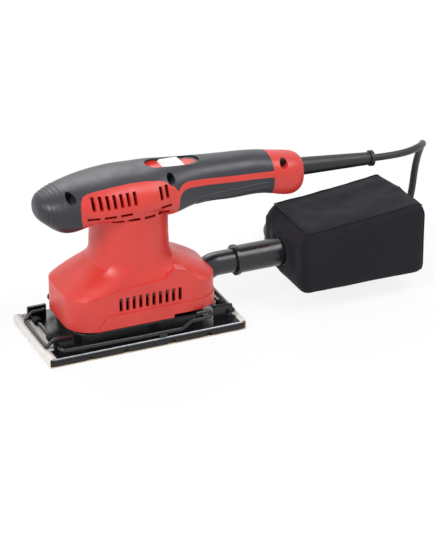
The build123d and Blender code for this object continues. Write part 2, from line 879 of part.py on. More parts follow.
def make_switch():
    """Slide knob in its pocket and the switch under it."""
    middle = knob_front + stem_offset
    low = pocket_floor + slide_gap
    outline = (
        (knob_front, low),
        (knob_front + knob_edge, knob_top - knob_edge),
        (knob_front + 2 * knob_edge, knob_top),
        (knob_front + knob_length - 2 * knob_edge, knob_top - knob_edge / 2),
        (knob_front + knob_length - knob_edge, knob_top - 1.5 * knob_edge),
        (knob_front + knob_length, low),
    )
    face = make_face(Polyline(*outline, close=True))
    cap = extrude(Plane.XZ * face, amount=pocket_half_width - slide_gap, both=True)
    stem = block(
        (middle - stem_length / 2, middle + stem_length / 2),
        (-stem_half_width, stem_half_width),
        (switch_top + slide_gap, low + 0.5),
    )
    nodes["switch_knob"] = cap + stem
    nodes["switch_body"] = block(
        (switch_front, switch_front + switch_length),
        (-switch_half_width, switch_half_width),
        (switch_top - switch_height, switch_top),
    )
    turn = Pos(capacitor_front + capacitor_length / 2, 0, capacitor_z()) * Rot(0, 90, 0)
    nodes["capacitor"] = turn * Cylinder(capacitor_radius, capacitor_length)


def make_spout_and_bag():
    """Dust spout, and the bag with the nozzle that slides over it."""
    path = spout_path()
    flange = block(
        (spout_root, spout_root + flange_thickness),
        (-flange_half_width, flange_half_width),
        (skirt_bottom + flange_lift, spout_axis + flange_rise),
    )
    spout = along(path, spout_radius) + flange
    nodes["dust_spout"] = spout - along(path, spout_bore)
    bore = spout_radius + slide_gap
    radius = bore + nozzle_wall
    flange_at = bag_front + bag_cloth + seat_gap
    nozzle = on_spout(radius, nozzle_front, flange_at + nozzle_flange_thickness)
    nozzle = nozzle + on_spout(radius + nozzle_rim_proud, nozzle_front, nozzle_front + nozzle_rim)
    nozzle = nozzle + on_spout(nozzle_flange_radius, flange_at, flange_at + nozzle_flange_thickness)
    nodes["bag_nozzle"] = nozzle - on_spout(bore, nozzle_front - 1, bag_front + 20)
    ring = on_spout(bag_ring_radius, bag_front - seat_gap - bag_ring_thickness, bag_front - seat_gap)
    nodes["bag_clamp_ring"] = ring - on_spout(radius + seat_gap, nozzle_front, bag_front + 1)
    bag = bag_form(0.0) - bag_form(bag_cloth)
    nodes["dust_bag"] = bag - on_spout(radius + seat_gap, bag_front - 5, bag_front + 8)


def on_spout(radius, start, end):
    """A round bar on the spout's level stretch."""
    return Pos((start + end) / 2, 0, spout_axis) * Rot(0, 90, 0) * Cylinder(radius, end - start)


def bag_form(inset):
    """The bag's soft box, higher at its rear, made smaller by inset all round."""
    outline = (
        (bag_front + inset, bag_bottom + inset),
        (bag_front + inset, bag_top_front - inset),
        (bag_rear - inset, bag_top_rear - inset),
        (bag_rear - inset, bag_bottom + inset),
    )
    face = make_face(Polyline(*outline, close=True))
    form = extrude(Plane.XZ * face, amount=bag_half_width - inset, both=True)
    return fillet(form.edges(), bag_corner - inset)


def lever_path():
    """Bent wire: shaft across the front, arm along the left side, finger loop at its end."""
    return FilletPolyline(
        (shaft_x, ear_y + 5, shaft_z),
        (shaft_x, -arm_y, shaft_z),
        (rest_x - 20, -arm_y, arm_z),
        (arm_bend_x, -arm_y, arm_z),
        (loop_front, -arm_y, loop_low),
        (loop_rear, -arm_y, loop_low),
        (loop_rear + 3.0, -arm_y, (loop_low + loop_high) / 2),
        (loop_rear, -arm_y, loop_high),
        (loop_front + 4, -arm_y, loop_high),
        radius=(wire_bend, wire_bend, wire_bend, wire_bend, 1.9, 1.9, 1.9),
    )


def bail_path():
    """Bent wire: two legs over the lever's shaft, and a bar that holds the paper down."""
    legs = []
    for side in (-1, 1):
        legs.append(
            [
                (bail_pivot_x, side * (ear_y + ear_thickness / 2 - 0.2), bail_pivot_z),
                (bail_pivot_x, side * bail_half_width, bail_pivot_z),
                (shaft_x - 1.5, side * bail_half_width, bail_pivot_z),
                (bail_bar_x, side * bail_half_width, bail_bar_z),
            ]
        )
    return FilletPolyline(*legs[0], *reversed(legs[1]), radius=(2.2, 2.6, 2.2, 2.2, 2.6, 2.2))


def biarc(start, start_way, end, end_way):
    """Two tangent arcs from one point and direction to another."""
    span = end - start
    ways = start_way + end_way
    spread = 2 * (1 - start_way.dot(end_way))
    lean = span.dot(ways)
    reach = (-lean + math.sqrt(lean * lean + spread * span.dot(span))) / spread
    first = start + start_way * reach
    second = end - end_way * reach
    joint = (first + second) * 0.5
    middle_way = (second - first).normalized()
    return [TangentArc(start, joint, tangent=start_way), TangentArc(joint, end, tangent=middle_way)]


def wound_path(curve, turns, lead, tail):
    """A path through a formula's quarter turns, with straight ends of the given lengths."""
    steps = round(turns * 4)
    small = 1e-4
    points = []
    ways = []
    for step in range(steps + 1):
        turn = turns * step / steps
        ahead = Vector(*curve(turn + small))
        behind = Vector(*curve(turn - small))
        points.append(Vector(*curve(turn)))
        ways.append((ahead - behind).normalized())
    edges = [Line(points[0] - ways[0] * lead, points[0])]
    for step in range(steps):
        edges += biarc(points[step], ways[step], points[step + 1], ways[step + 1])
    edges.append(Line(points[-1], points[-1] + ways[-1] * tail))
    return Wire(edges)


def least_gap(curve, turns, diameter):
    """The least gap between a wound tube and itself, on points half a turn or more apart."""
    count = 60
    total = round(turns * count)
    points = [curve(turns * step / total) for step in range(total + 1)]
    least = 1000.0
    for index, point in enumerate(points):
        for other in points[index + count // 2:]:
            least = min(least, math.dist(point, other))
    return least - diameter


def coil_curve(turn):
    """Cord coil: spirals in on the floor, climbs a layer in half a turn, and spirals out on top."""
    inner = coil_outer - coil_pitch * coil_turns_each
    low = cord_radius + coil_floor
    if turn <= coil_turns_each:
        radius = coil_outer - coil_pitch * turn
        height = low
    elif turn <= coil_turns_each + 0.5:
        share = 2 * (turn - coil_turns_each)
        radius = inner - 0.3 * coil_pitch * math.sin(math.pi * share)
        height = low + coil_rise * share * share * (3 - 2 * share)
    else:
        radius = inner + coil_pitch * (turn - coil_turns_each - 0.5)
        height = low + coil_rise
    angle = 1.5 * math.pi - 2 * math.pi * turn
    return (coil_center[0] + radius * math.cos(angle), coil_center[1] + radius * math.sin(angle), height)


coil_turns = 2 * coil_turns_each + 0.5


def coil_entry():
    """Where the free cord meets the coil's straight end, and its direction there."""
    point = Vector(*coil_curve(0.0))
    way = (Vector(*coil_curve(1e-4)) - Vector(*coil_curve(-1e-4))).normalized()
    return point - way * cord_diameter, way


def spring_curve_at(y_start):
    """One torsion spring round a lever shaft, as a helix on an axis along Y."""

    def curve(turn):
        angle = 2 * math.pi * turn
        x = shaft_x + spring_radius * math.cos(angle)
        z = shaft_z + spring_radius * math.sin(angle)
        return (x, y_start + spring_pitch * turn, z)

    return curve


def make_clamps():
    """Front paper clamp, and the rear one turned half round."""
    lever = along(lever_path(), lever_wire / 2)
    bail = along(bail_path(), bail_wire / 2)
    ears = []
    for side in (-1, 1):
        y = side * ear_y
        ear = block(
            (shaft_x - ear_reach, bail_pivot_x + ear_reach),
            (y - ear_thickness / 2, y + ear_thickness / 2),
            (rim_top, rim_top + ear_height),
        )
        ear = ear - across(lever_wire / 2 + run_gap, shaft_x, shaft_z)
        ears.append(ear - across(bail_wire / 2 + run_gap, bail_pivot_x, bail_pivot_z))
    springs = []
    for start in (-spring_y - spring_curls * spring_pitch, spring_y):
        curve = spring_curve_at(start)
        springs.append(along(wound_path(curve, spring_curls, spring_wire, spring_wire), spring_wire / 2))
        print("spring least gap", round(least_gap(curve, spring_curls, spring_wire), 3))
    rest = block(
        (rest_x - rest_length / 2, rest_x + rest_length / 2),
        (-arm_y - rest_width / 2, -arm_y + rest_width / 2),
        (rim_top, arm_z),
    )
    rest = rest - Pos(rest_x, -arm_y, arm_z) * Rot(0, 90, 0) * Cylinder(lever_wire / 2 + seat_gap, 40)
    nodes["front_clamp_lever"] = lever
    nodes["front_paper_bail"] = bail
    nodes["rear_clamp_lever"] = half_turn(lever)
    nodes["rear_paper_bail"] = half_turn(bail)
    nodes["front_clamp_ears"] = group(ears)
    nodes["rear_clamp_ears"] = group([half_turn(ear) for ear in ears])
    nodes["front_bail_springs"] = group(springs)
    nodes["rear_bail_springs"] = group([half_turn(spring) for spring in springs])
    nodes["lever_rests"] = group([rest, half_turn(rest)])


def across(radius, x, z):
    """A long round bar along Y."""
    return Pos(x, 0, z) * Rot(90, 0, 0) * Cylinder(radius, 200)


def cord_points():
    """Route of the free cord from the guard's end, round behind the bag, down to the coil."""
    tip = guard_plane(guard_length).origin
    start, way = coil_entry()
    return [
        tip,
        tip + Vector(30, 0, -2.05),
        Vector(296, 17, 116),
        Vector(312, 48, 104),
        Vector(316, 68, 74),
        Vector(312, 66, 42),
        Vector(298, 57, 17),
        start - way * 30,
        start,
    ]


def cord_radii(points):
    """Arc radii as large as the runs allow, one for each corner."""
    radii = []
    for before, corner, after in zip(points, points[1:], points[2:]):
        run_in = corner - before
        run_out = after - corner
        turn = math.radians(run_in.get_angle(run_out))
        radii.append(0.45 * min(run_in.length, run_out.length) / math.tan(turn / 2))
    return radii


def make_cord():
    """Cord guard, the cord inside and outside the handle, its coil and its plug."""
    guard_form = guard_plane() * extrude_cone(guard_root_radius, guard_tip_radius, guard_length)
    rim = on_guard(guard_rim_radius, guard_length - guard_rim, guard_length)
    collar = on_guard(guard_collar_radius, -guard_collar - 1.0, -1.2)
    neck = on_guard(guard_root_radius, -2.0, 0.5)
    bore = on_guard(cord_radius + seat_gap, -20, guard_length + 1)
    nodes["cord_guard"] = guard_form + rim + collar + neck - bore
    nodes["cord_inner_end"] = on_guard(cord_radius, -cord_inside, guard_length)
    clamp = block(
        (clamp_x - clamp_length / 2, clamp_x + clamp_length / 2),
        (-clamp_half_width, clamp_half_width),
        (clamp_z() - clamp_half_height, clamp_z() + clamp_half_height),
    )
    clamp = clamp - on_guard(cord_radius + seat_gap, -30, 10)
    screws = []
    for y in (-clamp_screw_y, clamp_screw_y):
        clamp = clamp - rod(clamp_screw_radius + seat_gap, clamp_z() - 20, clamp_z() + 20, (clamp_x, y))
        shank = rod(clamp_screw_radius, clamp_z() - 15, clamp_z() + clamp_half_height + 1, (clamp_x, y))
        top = clamp_z() + clamp_half_height
        head = rod(clamp_screw_head, top + seat_gap, top + seat_gap + clamp_head_height, (clamp_x, y))
        screws.append(shank + head)
    nodes["cord_clamp"] = clamp
    nodes["cord_clamp_screws"] = group(screws)
    leads = []
    inner = guard_plane(-cord_inside - 0.2).origin
    for side in (-1, 1):
        start = Vector(inner.X, side * lead_y, inner.Z)
        end = Vector(switch_front + switch_length + 0.2, side * lead_y * 2, switch_top - lead_drop)
        leads.append(along(Wire([Line(start, end)]), lead_radius))
    nodes["lead_wires"] = group(leads)
    points = cord_points()
    radii = cord_radii(points)
    print("cord radii", [round(radius, 1) for radius in radii])
    path = FilletPolyline(*points, radius=radii)
    lead = along(path, cord_radius)
    ratio = lead.volume / (math.pi * cord_radius**2 * path.length)
    print("cord lead", round(path.length, 1), "volume ratio", round(ratio, 4))
    nodes["cord_lead"] = lead
    coil_path = wound_path(coil_curve, coil_turns, cord_diameter, coil_tail)
    nodes["cord_coil"] = along(coil_path, cord_radius)
    coil_gap = least_gap(coil_curve, coil_turns, cord_diameter)
    print("cord coil", round(coil_path.length, 1), "least gap", round(coil_gap, 3))
    exit_point = coil_path @ 1
    print("coil exit", exit_point, coil_path % 1)
    print("cord length", round(path.length + coil_path.length, 1))
    make_plug(exit_point + Vector(plug_gap, 0, 0))


def extrude_cone(low_radius, high_radius, height):
    """A cone standing on its plane's origin."""
    return Pos(0, 0, height / 2) * Cone(low_radius, high_radius, height)


def make_plug(point):
    """Flat two-pin plug on the end of the coil, its cord hole on the cord's end."""
    half = plug_width / 2
    outline = (
        (point.X, point.Y - plug_tail_width / 2),
        (point.X + plug_taper, point.Y - half),
        (point.X + plug_length, point.Y - half),
        (point.X + plug_length, point.Y + half),
        (point.X + plug_taper, point.Y + half),
        (point.X, point.Y + plug_tail_width / 2),
    )
    face = Pos(0, 0, coil_floor) * make_face(Polyline(*outline, close=True))
    body = extrude(face, amount=2 * (point.Z - coil_floor))
    flat_edges = body.faces().sort_by(Axis.Z)[0].edges() + body.faces().sort_by(Axis.Z)[-1].edges()
    nodes["plug_body"] = fillet(flat_edges, plug_corner)
    pins = []
    for side in (-1, 1):
        place = (point.X + plug_length + pin_length / 2 + pin_gap, point.Y + side * pin_spacing / 2, point.Z)
        pins.append(Pos(*place) * Rot(0, 90, 0) * Cylinder(pin_radius, pin_length))
    nodes["plug_pins"] = group(pins)


make_base()
make_clamps()
make_motor()
make_baffle()
make_switch()
make_spout_and_bag()
make_cord()
make_screws()
make_housing()

os.makedirs("parts", exist_ok=True)
for name, shape in nodes.items():
    export_step(shape, "parts/" + name + ".step")
print(len(nodes), "nodes")
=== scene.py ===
# %% [markdown]
# # Dressing an orbital sander
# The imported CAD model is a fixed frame: every piece here is in metres, in the same place as its solid. This
# lesson dresses that frame in order: camera, cord, stage, finishes, shell, ribs, bag, pad, paper and cord
# tie.

# %% Load the frame
import json
import math

import bmesh
import bpy
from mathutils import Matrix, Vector, noise
from mathutils.bvhtree import BVHTree


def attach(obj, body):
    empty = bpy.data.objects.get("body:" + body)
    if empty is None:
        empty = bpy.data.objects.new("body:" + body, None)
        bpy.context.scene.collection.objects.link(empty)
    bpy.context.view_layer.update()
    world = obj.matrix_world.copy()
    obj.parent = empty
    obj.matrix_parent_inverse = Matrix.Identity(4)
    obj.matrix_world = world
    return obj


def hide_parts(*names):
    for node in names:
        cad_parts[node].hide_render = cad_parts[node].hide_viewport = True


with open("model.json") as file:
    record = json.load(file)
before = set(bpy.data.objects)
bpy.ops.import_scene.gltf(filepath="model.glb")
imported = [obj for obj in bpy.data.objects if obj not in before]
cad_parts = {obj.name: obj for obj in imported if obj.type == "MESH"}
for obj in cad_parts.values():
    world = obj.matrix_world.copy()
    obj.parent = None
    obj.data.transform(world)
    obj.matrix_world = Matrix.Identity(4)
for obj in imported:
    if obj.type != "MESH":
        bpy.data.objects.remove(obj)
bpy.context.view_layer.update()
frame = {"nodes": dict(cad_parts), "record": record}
node_body = {n: b for b, ns in frame["record"]["behaviour"]["bodies"].items() for n in ns}
node_slot = {part["node"]: part["material_slot"] for part in frame["record"]["subparts"]}

# %% [markdown]
# ## Camera
# The photograph looks down on the tool's left side from in front of its nose, through a long lens. A camera
# can be set by eye, but then each size has to be judged by eye as well. Here the distance and the angles
# come from the pad's corners, so the render can lie over the photograph.

# %% Camera
view_azimuth = -23.679
view_elevation = 26.43
view_distance = 2.5
view_target = Vector((0.084661, 0.0, 0.040672))
sensor_mm = 36.0
focal_px = 2811.5
frame_height_px = 537

azimuth = math.radians(view_azimuth)
elevation = math.radians(view_elevation)
back = Vector((
    math.sin(azimuth) * math.cos(elevation),
    -math.cos(azimuth) * math.cos(elevation),
    math.sin(elevation),
))
camera_data = bpy.data.cameras.new("camera")
camera_data.sensor_width = sensor_mm
camera_data.lens = focal_px * sensor_mm / frame_height_px
camera = bpy.data.objects.new("camera", camera_data)
camera.location = view_target + back * view_distance
camera.rotation_euler = (-back).to_track_quat("-Z", "Y").to_euler()
bpy.context.scene.collection.objects.link(camera)
bpy.context.scene.camera = camera
bpy.context.scene.view_settings.view_transform = "Standard"
print("lens", round(camera_data.lens, 1), "mm")

# %% [markdown]
# ## Cord
# A mains lead is one fixed length that bends in long curves. What isn't in use is put away: the far end
# lies on the floor in a flat coil of two layers, behind the bag. A coil could be drawn by hand, point by
# point. A formula gives even turns instead, and the height of the upper layer in one place.

# %% Coil of cord
MM = 0.001
cord_diameter = 6.5
coil_center = (224.0, 91.0)
coil_outer = 47.0
coil_pitch = 7.1
coil_rise = 7.0
coil_turns_each = 4.0
coil_floor = 0.4
climb_turns = 0.5
climb_tuck = 0.3
tiny_turn = 1e-4


def coil_curve(turn):
    """The put-away coil: in on the floor, up a layer in half a turn, and out on top."""
    inner = coil_outer - coil_pitch * coil_turns_each
    low = cord_diameter / 2 + coil_floor
    if turn <= coil_turns_each:
        radius = coil_outer - coil_pitch * turn
        height = low
    elif turn <= coil_turns_each + climb_turns:
        share = (turn - coil_turns_each) / climb_turns
        radius = inner - climb_tuck * coil_pitch * math.sin(math.pi * share)
        height = low + coil_rise * share * share * (3 - 2 * share)
    else:
        radius = inner + coil_pitch * (turn - coil_turns_each - climb_turns)
        height = low + coil_rise
    angle = 1.5 * math.pi - 2 * math.pi * turn
    x = coil_center[0] + radius * math.cos(angle)
    y = coil_center[1] + radius * math.sin(angle)
    return Vector((x, y, height))


def coil_way(turn):
    """The direction in which the cord runs at that turn."""
    return (coil_curve(turn + tiny_turn) - coil_curve(turn - tiny_turn)).normalized()


coil_turns = 2 * coil_turns_each + climb_turns
print("coil turns", coil_turns)

# %% [markdown]
# The cord leaves its tapered guard straight, drops behind the bag and runs into the coil. One NURBS spline
# of order 3 takes the solid's route points as its control points: it bends past them in smooth curves,
# where a poly line would show a corner at each. A round bevel on the curve gives it its thickness.

# %% Cord route and spline
guard_tip = Vector((235.824, 0.0, 121.131))
coil_lead = 30.0
coil_tail = 47.0
points_a_turn = 16
cord_bevel_steps = 5
cord_curve_steps = 6

entry = coil_curve(0.0) - coil_way(0.0) * cord_diameter
route = [
    guard_tip,
    guard_tip + Vector((30.0, 0.0, -2.05)),
    Vector((296.0, 17.0, 116.0)),
    Vector((312.0, 48.0, 104.0)),
    Vector((316.0, 68.0, 74.0)),
    Vector((312.0, 66.0, 42.0)),
    Vector((298.0, 57.0, 17.0)),
    entry - coil_way(0.0) * coil_lead,
    entry,
]
turn_steps = round(coil_turns * points_a_turn)
route += [coil_curve(coil_turns * step / turn_steps) for step in range(turn_steps + 1)]
cord_end = route[-1] + coil_way(coil_turns) * coil_tail
route += [route[-1] + coil_way(coil_turns) * coil_tail / 2, cord_end]

cord_curve = bpy.data.curves.new("mains_cord", "CURVE")
cord_curve.dimensions = "3D"
cord_curve.bevel_depth = cord_diameter / 2 * MM
cord_curve.bevel_resolution = cord_bevel_steps
cord_curve.resolution_u = cord_curve_steps
spline = cord_curve.splines.new("NURBS")
spline.points.add(len(route) - 1)
for point, place in zip(spline.points, route):
    point.co = (place.x * MM, place.y * MM, place.z * MM, 1.0)
spline.order_u = 3
spline.use_endpoint_u = True
cord = bpy.data.objects.new("mains_cord", cord_curve)
bpy.context.scene.collection.objects.link(cord)
print("cord points", len(route), "end", [round(c, 1) for c in cord_end])

# %% [markdown]
# ## Stage
# Product pictures of tools stand on white, with only a soft shadow. A very bright floor would do that too,
# but it would wash out the tool. So the floor glows for the rays that show it, to the camera and in
# reflections, and is plain matte for the rest, and keeps the shadow.

# %% Floor
floor_size = 6.0
floor_drop = 0.0003
floor_glow = 0.86


def add(tree, kind, inputs=None, **settings):
    """Add one node: its settings by name, then each input as a value or as another node's output."""
    node = tree.nodes.new(kind)
    for name, value in settings.items():
        setattr(node, name, value)
    for name, value in (inputs or {}).items():
        if isinstance(value, bpy.types.NodeSocket):
            tree.links.new(value, node.inputs[name])
        else:
            node.inputs[name].default_value = value
    return node


def linear(code, alpha=1.0):
    """An sRGB hex colour as linear numbers."""
    parts = [int(code[i:i + 2], 16) / 255 for i in (1, 3, 5)]
    return tuple(c / 12.92 if c <= 0.04045 else ((c + 0.055) / 1.055) ** 2.4 for c in parts) + (alpha,)


def seen_ray(tree):
    """1 for rays that show the surround: camera, glossy and transmission rays."""
    path = add(tree, "ShaderNodeLightPath")
    first = add(tree, "ShaderNodeMath", {0: path.outputs["Is Camera Ray"], 1: path.outputs["Is Glossy Ray"]},
                operation="MAXIMUM")
    both = add(tree, "ShaderNodeMath", {0: first.outputs[0], 1: path.outputs["Is Transmission Ray"]},
               operation="MAXIMUM")
    return both.outputs[0]


floor_material = bpy.data.materials.new("studio_floor")
floor_material.use_nodes = True
tree = floor_material.node_tree
tree.nodes.clear()
matte = add(tree, "ShaderNodeBsdfDiffuse", {"Color": linear("#F4F4F4")})
glow = add(tree, "ShaderNodeEmission", {"Color": linear("#FFFFFF"), "Strength": 1.0})
shown = add(tree, "ShaderNodeMath", {0: seen_ray(tree), 1: floor_glow}, operation="MULTIPLY")
mixed = add(tree, "ShaderNodeMixShader", {0: shown.outputs[0], 1: matte.outputs[0], 2: glow.outputs[0]})
add(tree, "ShaderNodeOutputMaterial", {"Surface": mixed.outputs[0]})
floor_mesh = bpy.data.meshes.new("studio_floor")
half = floor_size / 2
floor_corners = [(-half, -half, 0), (half, -half, 0), (half, half, 0), (-half, half, 0)]
floor_mesh.from_pydata(floor_corners, [], [(0, 1, 2, 3)])
floor_mesh.materials.append(floor_material)
floor = bpy.data.objects.new("studio_floor", floor_mesh)
floor.location.z = -floor_drop
bpy.context.scene.collection.objects.link(floor)
print("floor", floor_size, "m wide")

# %% [markdown]
# The surround works in the same way: white where it shows, and a low even light on the tool. Three large
# soft lamps shape the tool: one from in front of the nose, one over the cord end and one from behind. Small
# lamps would give harder shadows than the photograph shows.

# %% Surround and lamps
surround_light = 0.42
lamps = (
    ("key_lamp", (-1.6, -0.7, 1.5), 0.9, 28.0),
    ("side_lamp", (1.1, -0.8, 1.9), 1.1, 22.0),
    ("back_lamp", (0.3, 1.5, 1.3), 1.0, 10.0),
)

world = bpy.data.worlds.new("studio")
bpy.context.scene.world = world
world.use_nodes = True
tree = world.node_tree
tree.nodes.clear()
light = add(tree, "ShaderNodeBackground", {"Color": linear("#FFFFFF"), "Strength": surround_light})
white = add(tree, "ShaderNodeBackground", {"Color": linear("#FFFFFF"), "Strength": 1.0})
mixed = add(tree, "ShaderNodeMixShader", {0: seen_ray(tree), 1: light.outputs[0], 2: white.outputs[0]})
add(tree, "ShaderNodeOutputWorld", {"Surface": mixed.outputs[0]})
for name, place, size, power in lamps:
    lamp_data = bpy.data.lights.new(name, "AREA")
    lamp_data.size = size
    lamp_data.energy = power
    lamp = bpy.data.objects.new(name, lamp_data)
    lamp.location = place
    lamp.rotation_euler = (view_target - Vector(place)).to_track_quat("-Z", "Y").to_euler()
    bpy.context.scene.collection.objects.link(lamp)
print("lamps", len(lamps))

# %% [markdown]
# ## Finishes
# Each finish starts from the real material and how its surface was made. Moulded plastic has a fine spark-
# eroded grain, an uneven sheen and slightly deeper colour in patches. One flat colour would look like a
# screen icon, and a picture of plastic would stretch over the curves, so noise on Object coordinates does
# it. The grain is drawn a little coarse so that it shows.

# %% Moulded plastics and rubbers
patch_mm = 35.0
smear_mm = 9.0
sheen_spread = 0.05


def start_material(name):
    """A new material with an empty tree, its shader and its Object coordinates."""
    material = bpy.data.materials.new(name)
    material.use_nodes = True
    tree = material.node_tree
    tree.nodes.clear()
    shader = add(tree, "ShaderNodeBsdfPrincipled")
    add(tree, "ShaderNodeOutputMaterial", {"Surface": shader.outputs[0]})
    place = add(tree, "ShaderNodeTexCoord").outputs["Object"]
    return material, tree, shader, place


def moulded(name, main, deep, roughness, grain_mm, grain_height_mm, ior=1.53):
    """A moulded polymer: patchy colour, an uneven sheen and a fine grain."""
    material, tree, shader, place = start_material(name)
    patch = add(tree, "ShaderNodeTexNoise", {"Vector": place, "Scale": 1000 / patch_mm, "Detail": 3.0})
    ramp = add(tree, "ShaderNodeMapRange", {"Value": patch.outputs["Fac"], "From Min": 0.35, "From Max": 0.7})
    colour = add(tree, "ShaderNodeMix", {0: ramp.outputs[0], 6: linear(main), 7: linear(deep)},
                 data_type="RGBA")
    tree.links.new(colour.outputs[2], shader.inputs["Base Color"])
    smear = add(tree, "ShaderNodeTexNoise", {"Vector": place, "Scale": 1000 / smear_mm, "Detail": 4.0})
    sheen = add(tree, "ShaderNodeMapRange", {"Value": smear.outputs["Fac"], "From Min": 0.3, "From Max": 0.7,
                                             "To Min": roughness - sheen_spread,
                                             "To Max": roughness + sheen_spread})
    tree.links.new(sheen.outputs[0], shader.inputs["Roughness"])
    grain = add(tree, "ShaderNodeTexNoise", {"Vector": place, "Scale": 1000 / grain_mm, "Detail": 2.0})
    bump = add(tree, "ShaderNodeBump", {"Height": grain.outputs["Fac"], "Strength": 0.5,
                                        "Distance": grain_height_mm * MM})
    tree.links.new(bump.outputs[0], shader.inputs["Normal"])
    shader.inputs["IOR"].default_value = ior
    return material


# ABS from a spark-eroded mould: a warm red with a satin sheen.
red_abs = moulded("red_abs_moulded", "#D63A31", "#CB332B", 0.38, 0.9, 0.05)
# Elastomer moulded over the shell: dark grey, soft, with broad highlights.
grip_tpe = moulded("grey_tpe_overmoulded", "#292932", "#23232B", 0.38, 0.8, 0.06, ior=1.50)
# ABS from a smoother mould: a clean white.
white_abs = moulded("white_abs_moulded", "#F0F0EE", "#E8E8E6", 0.35, 0.8, 0.03)
# Nylon from a polished mould: near black, with a crisp line of light along each tube.
black_nylon = moulded("black_nylon_moulded", "#17171E", "#121218", 0.26, 0.8, 0.008)
# PVC drawn round the wires: an even, duller black.
cord_pvc = moulded("black_pvc_extruded", "#17171A", "#121214", 0.45, 0.7, 0.05, ior=1.52)
# Pressed rubber: matte.
foot_rubber = moulded("black_rubber_pressed", "#1C1C1C", "#161616", 0.70, 0.8, 0.06, ior=1.52)
# Plastic film wound into a block: a waxy yellow.
film_plastic = moulded("yellow_film_wound", "#D8C95A", "#CFBE4C", 0.40, 0.8, 0.03)
# Pressed carbon: matte and black.
carbon = moulded("carbon_pressed", "#2B2B2B", "#202020", 0.60, 0.7, 0.05)
plastics = (red_abs, grip_tpe, white_abs, black_nylon, cord_pvc, foot_rubber, film_plastic, carbon)
print("moulded and pressed", [finish.name for finish in plastics])

# %% [markdown]
# Metals: the base is a die-cast plate with black paint, the clamps are steel wire with a black coat, and
# the screws are black oxide. Paint keeps a soft orange-peel, and bare metal has fine streaks from the tool
# that cut it. Paint isn't metallic to the eye, so it has its own function, and bare metal keeps the default
# IOR.

# %% Metals
wear_mm = 14.0
streak_stretch = (0.15, 1.0, 1.0)
gloss_spread = 0.08


def painted(name, main, edge, roughness, peel_mm, peel_height_mm):
    """Paint on metal: a soft orange-peel and a little dust-grey wear in the hollows of a noise."""
    material, tree, shader, place = start_material(name)
    wear = add(tree, "ShaderNodeTexNoise", {"Vector": place, "Scale": 1000 / wear_mm, "Detail": 6.0})
    mask = add(tree, "ShaderNodeMapRange", {"Value": wear.outputs["Fac"], "From Min": 0.55, "From Max": 0.75})
    colour = add(tree, "ShaderNodeMix", {0: mask.outputs[0], 6: linear(main), 7: linear(edge)},
                 data_type="RGBA")
    tree.links.new(colour.outputs[2], shader.inputs["Base Color"])
    gloss = add(tree, "ShaderNodeMapRange", {"Value": wear.outputs["Fac"], "From Min": 0.3, "From Max": 0.7,
                                             "To Min": roughness - 0.06, "To Max": roughness + gloss_spread})
    tree.links.new(gloss.outputs[0], shader.inputs["Roughness"])
    peel = add(tree, "ShaderNodeTexNoise", {"Vector": place, "Scale": 1000 / peel_mm, "Detail": 2.0})
    bump = add(tree, "ShaderNodeBump", {"Height": peel.outputs["Fac"], "Strength": 0.4,
                                        "Distance": peel_height_mm * MM})
    tree.links.new(bump.outputs[0], shader.inputs["Normal"])
    shader.inputs["IOR"].default_value = 1.5
    return material


def bare_metal(name, main, deep, roughness, streak_mm):
    """Bare metal: fine streaks along the tool's length in its colour and its gloss."""
    material, tree, shader, place = start_material(name)
    turned = add(tree, "ShaderNodeMapping", {"Vector": place, "Scale": streak_stretch})
    streak = add(tree, "ShaderNodeTexNoise", {"Vector": turned.outputs[0], "Scale": 1000 / streak_mm,
                                              "Detail": 3.0})
    colour = add(tree, "ShaderNodeMix", {0: streak.outputs["Fac"], 6: linear(main), 7: linear(deep)},
                 data_type="RGBA")
    tree.links.new(colour.outputs[2], shader.inputs["Base Color"])
    gloss = add(tree, "ShaderNodeMapRange", {"Value": streak.outputs["Fac"], "To Min": roughness - gloss_spread,
                                             "To Max": roughness + gloss_spread})
    tree.links.new(gloss.outputs[0], shader.inputs["Roughness"])
    shader.inputs["Metallic"].default_value = 1.0
    return material


# Black paint on a casting: slightly wavy reflections, dusty grey in places.
cast_black = painted("cast_aluminium_black_paint", "#111113", "#1E1E21", 0.30, 1.6, 0.05)
# Coated wire: smoother, with a satin line of light along each bend.
wire_black = painted("steel_wire_black_coat", "#0F0F11", "#1C1C1F", 0.24, 2.0, 0.03)
# Turned steel: bright and streaked.
turned_steel = bare_metal("steel_turned", "#C4C4C4", "#A6A6A6", 0.28, 0.8)
# Stacked sheet steel: dull grey, as its many edges scatter light.
lamination = bare_metal("steel_laminated", "#6E6E70", "#58585A", 0.45, 0.6)
# Wound copper: warm, half shiny.
copper_wire = bare_metal("copper_wound", "#B8683A", "#944E28", 0.35, 0.7)
# Nickel on brass: pale, warm and bright.
nickel_brass = bare_metal("brass_nickel_plated", "#CFC6AE", "#B5AB92", 0.25, 0.9)
# A bare casting: dull silver.
cast_aluminium = bare_metal("aluminium_die_cast", "#8E9094", "#76787C", 0.42, 1.5)
# A brighter bare-metal finish for the rim's bevel, standing in for its highlight: a painted highlight line.
rim_painted_highlight = bare_metal("cast_aluminium_rim_painted_highlight", "#A6A8AE", "#7A7C82", 0.34, 1.2)
# Black oxide on steel: dark, with some of the metal's shine left.
black_oxide = bare_metal("steel_black_oxide", "#3A3A3C", "#2A2A2C", 0.42, 0.9)
metals = (cast_black, wire_black, turned_steel, lamination, copper_wire, nickel_brass, cast_aluminium,
          rim_painted_highlight, black_oxide)
print("metals", [finish.name for finish in metals])

# %% [markdown]
# Every solid takes its finish by name from the record's slots, also those inside, so that the tool looks
# right when it is taken apart. Picking each one by hand would miss some.

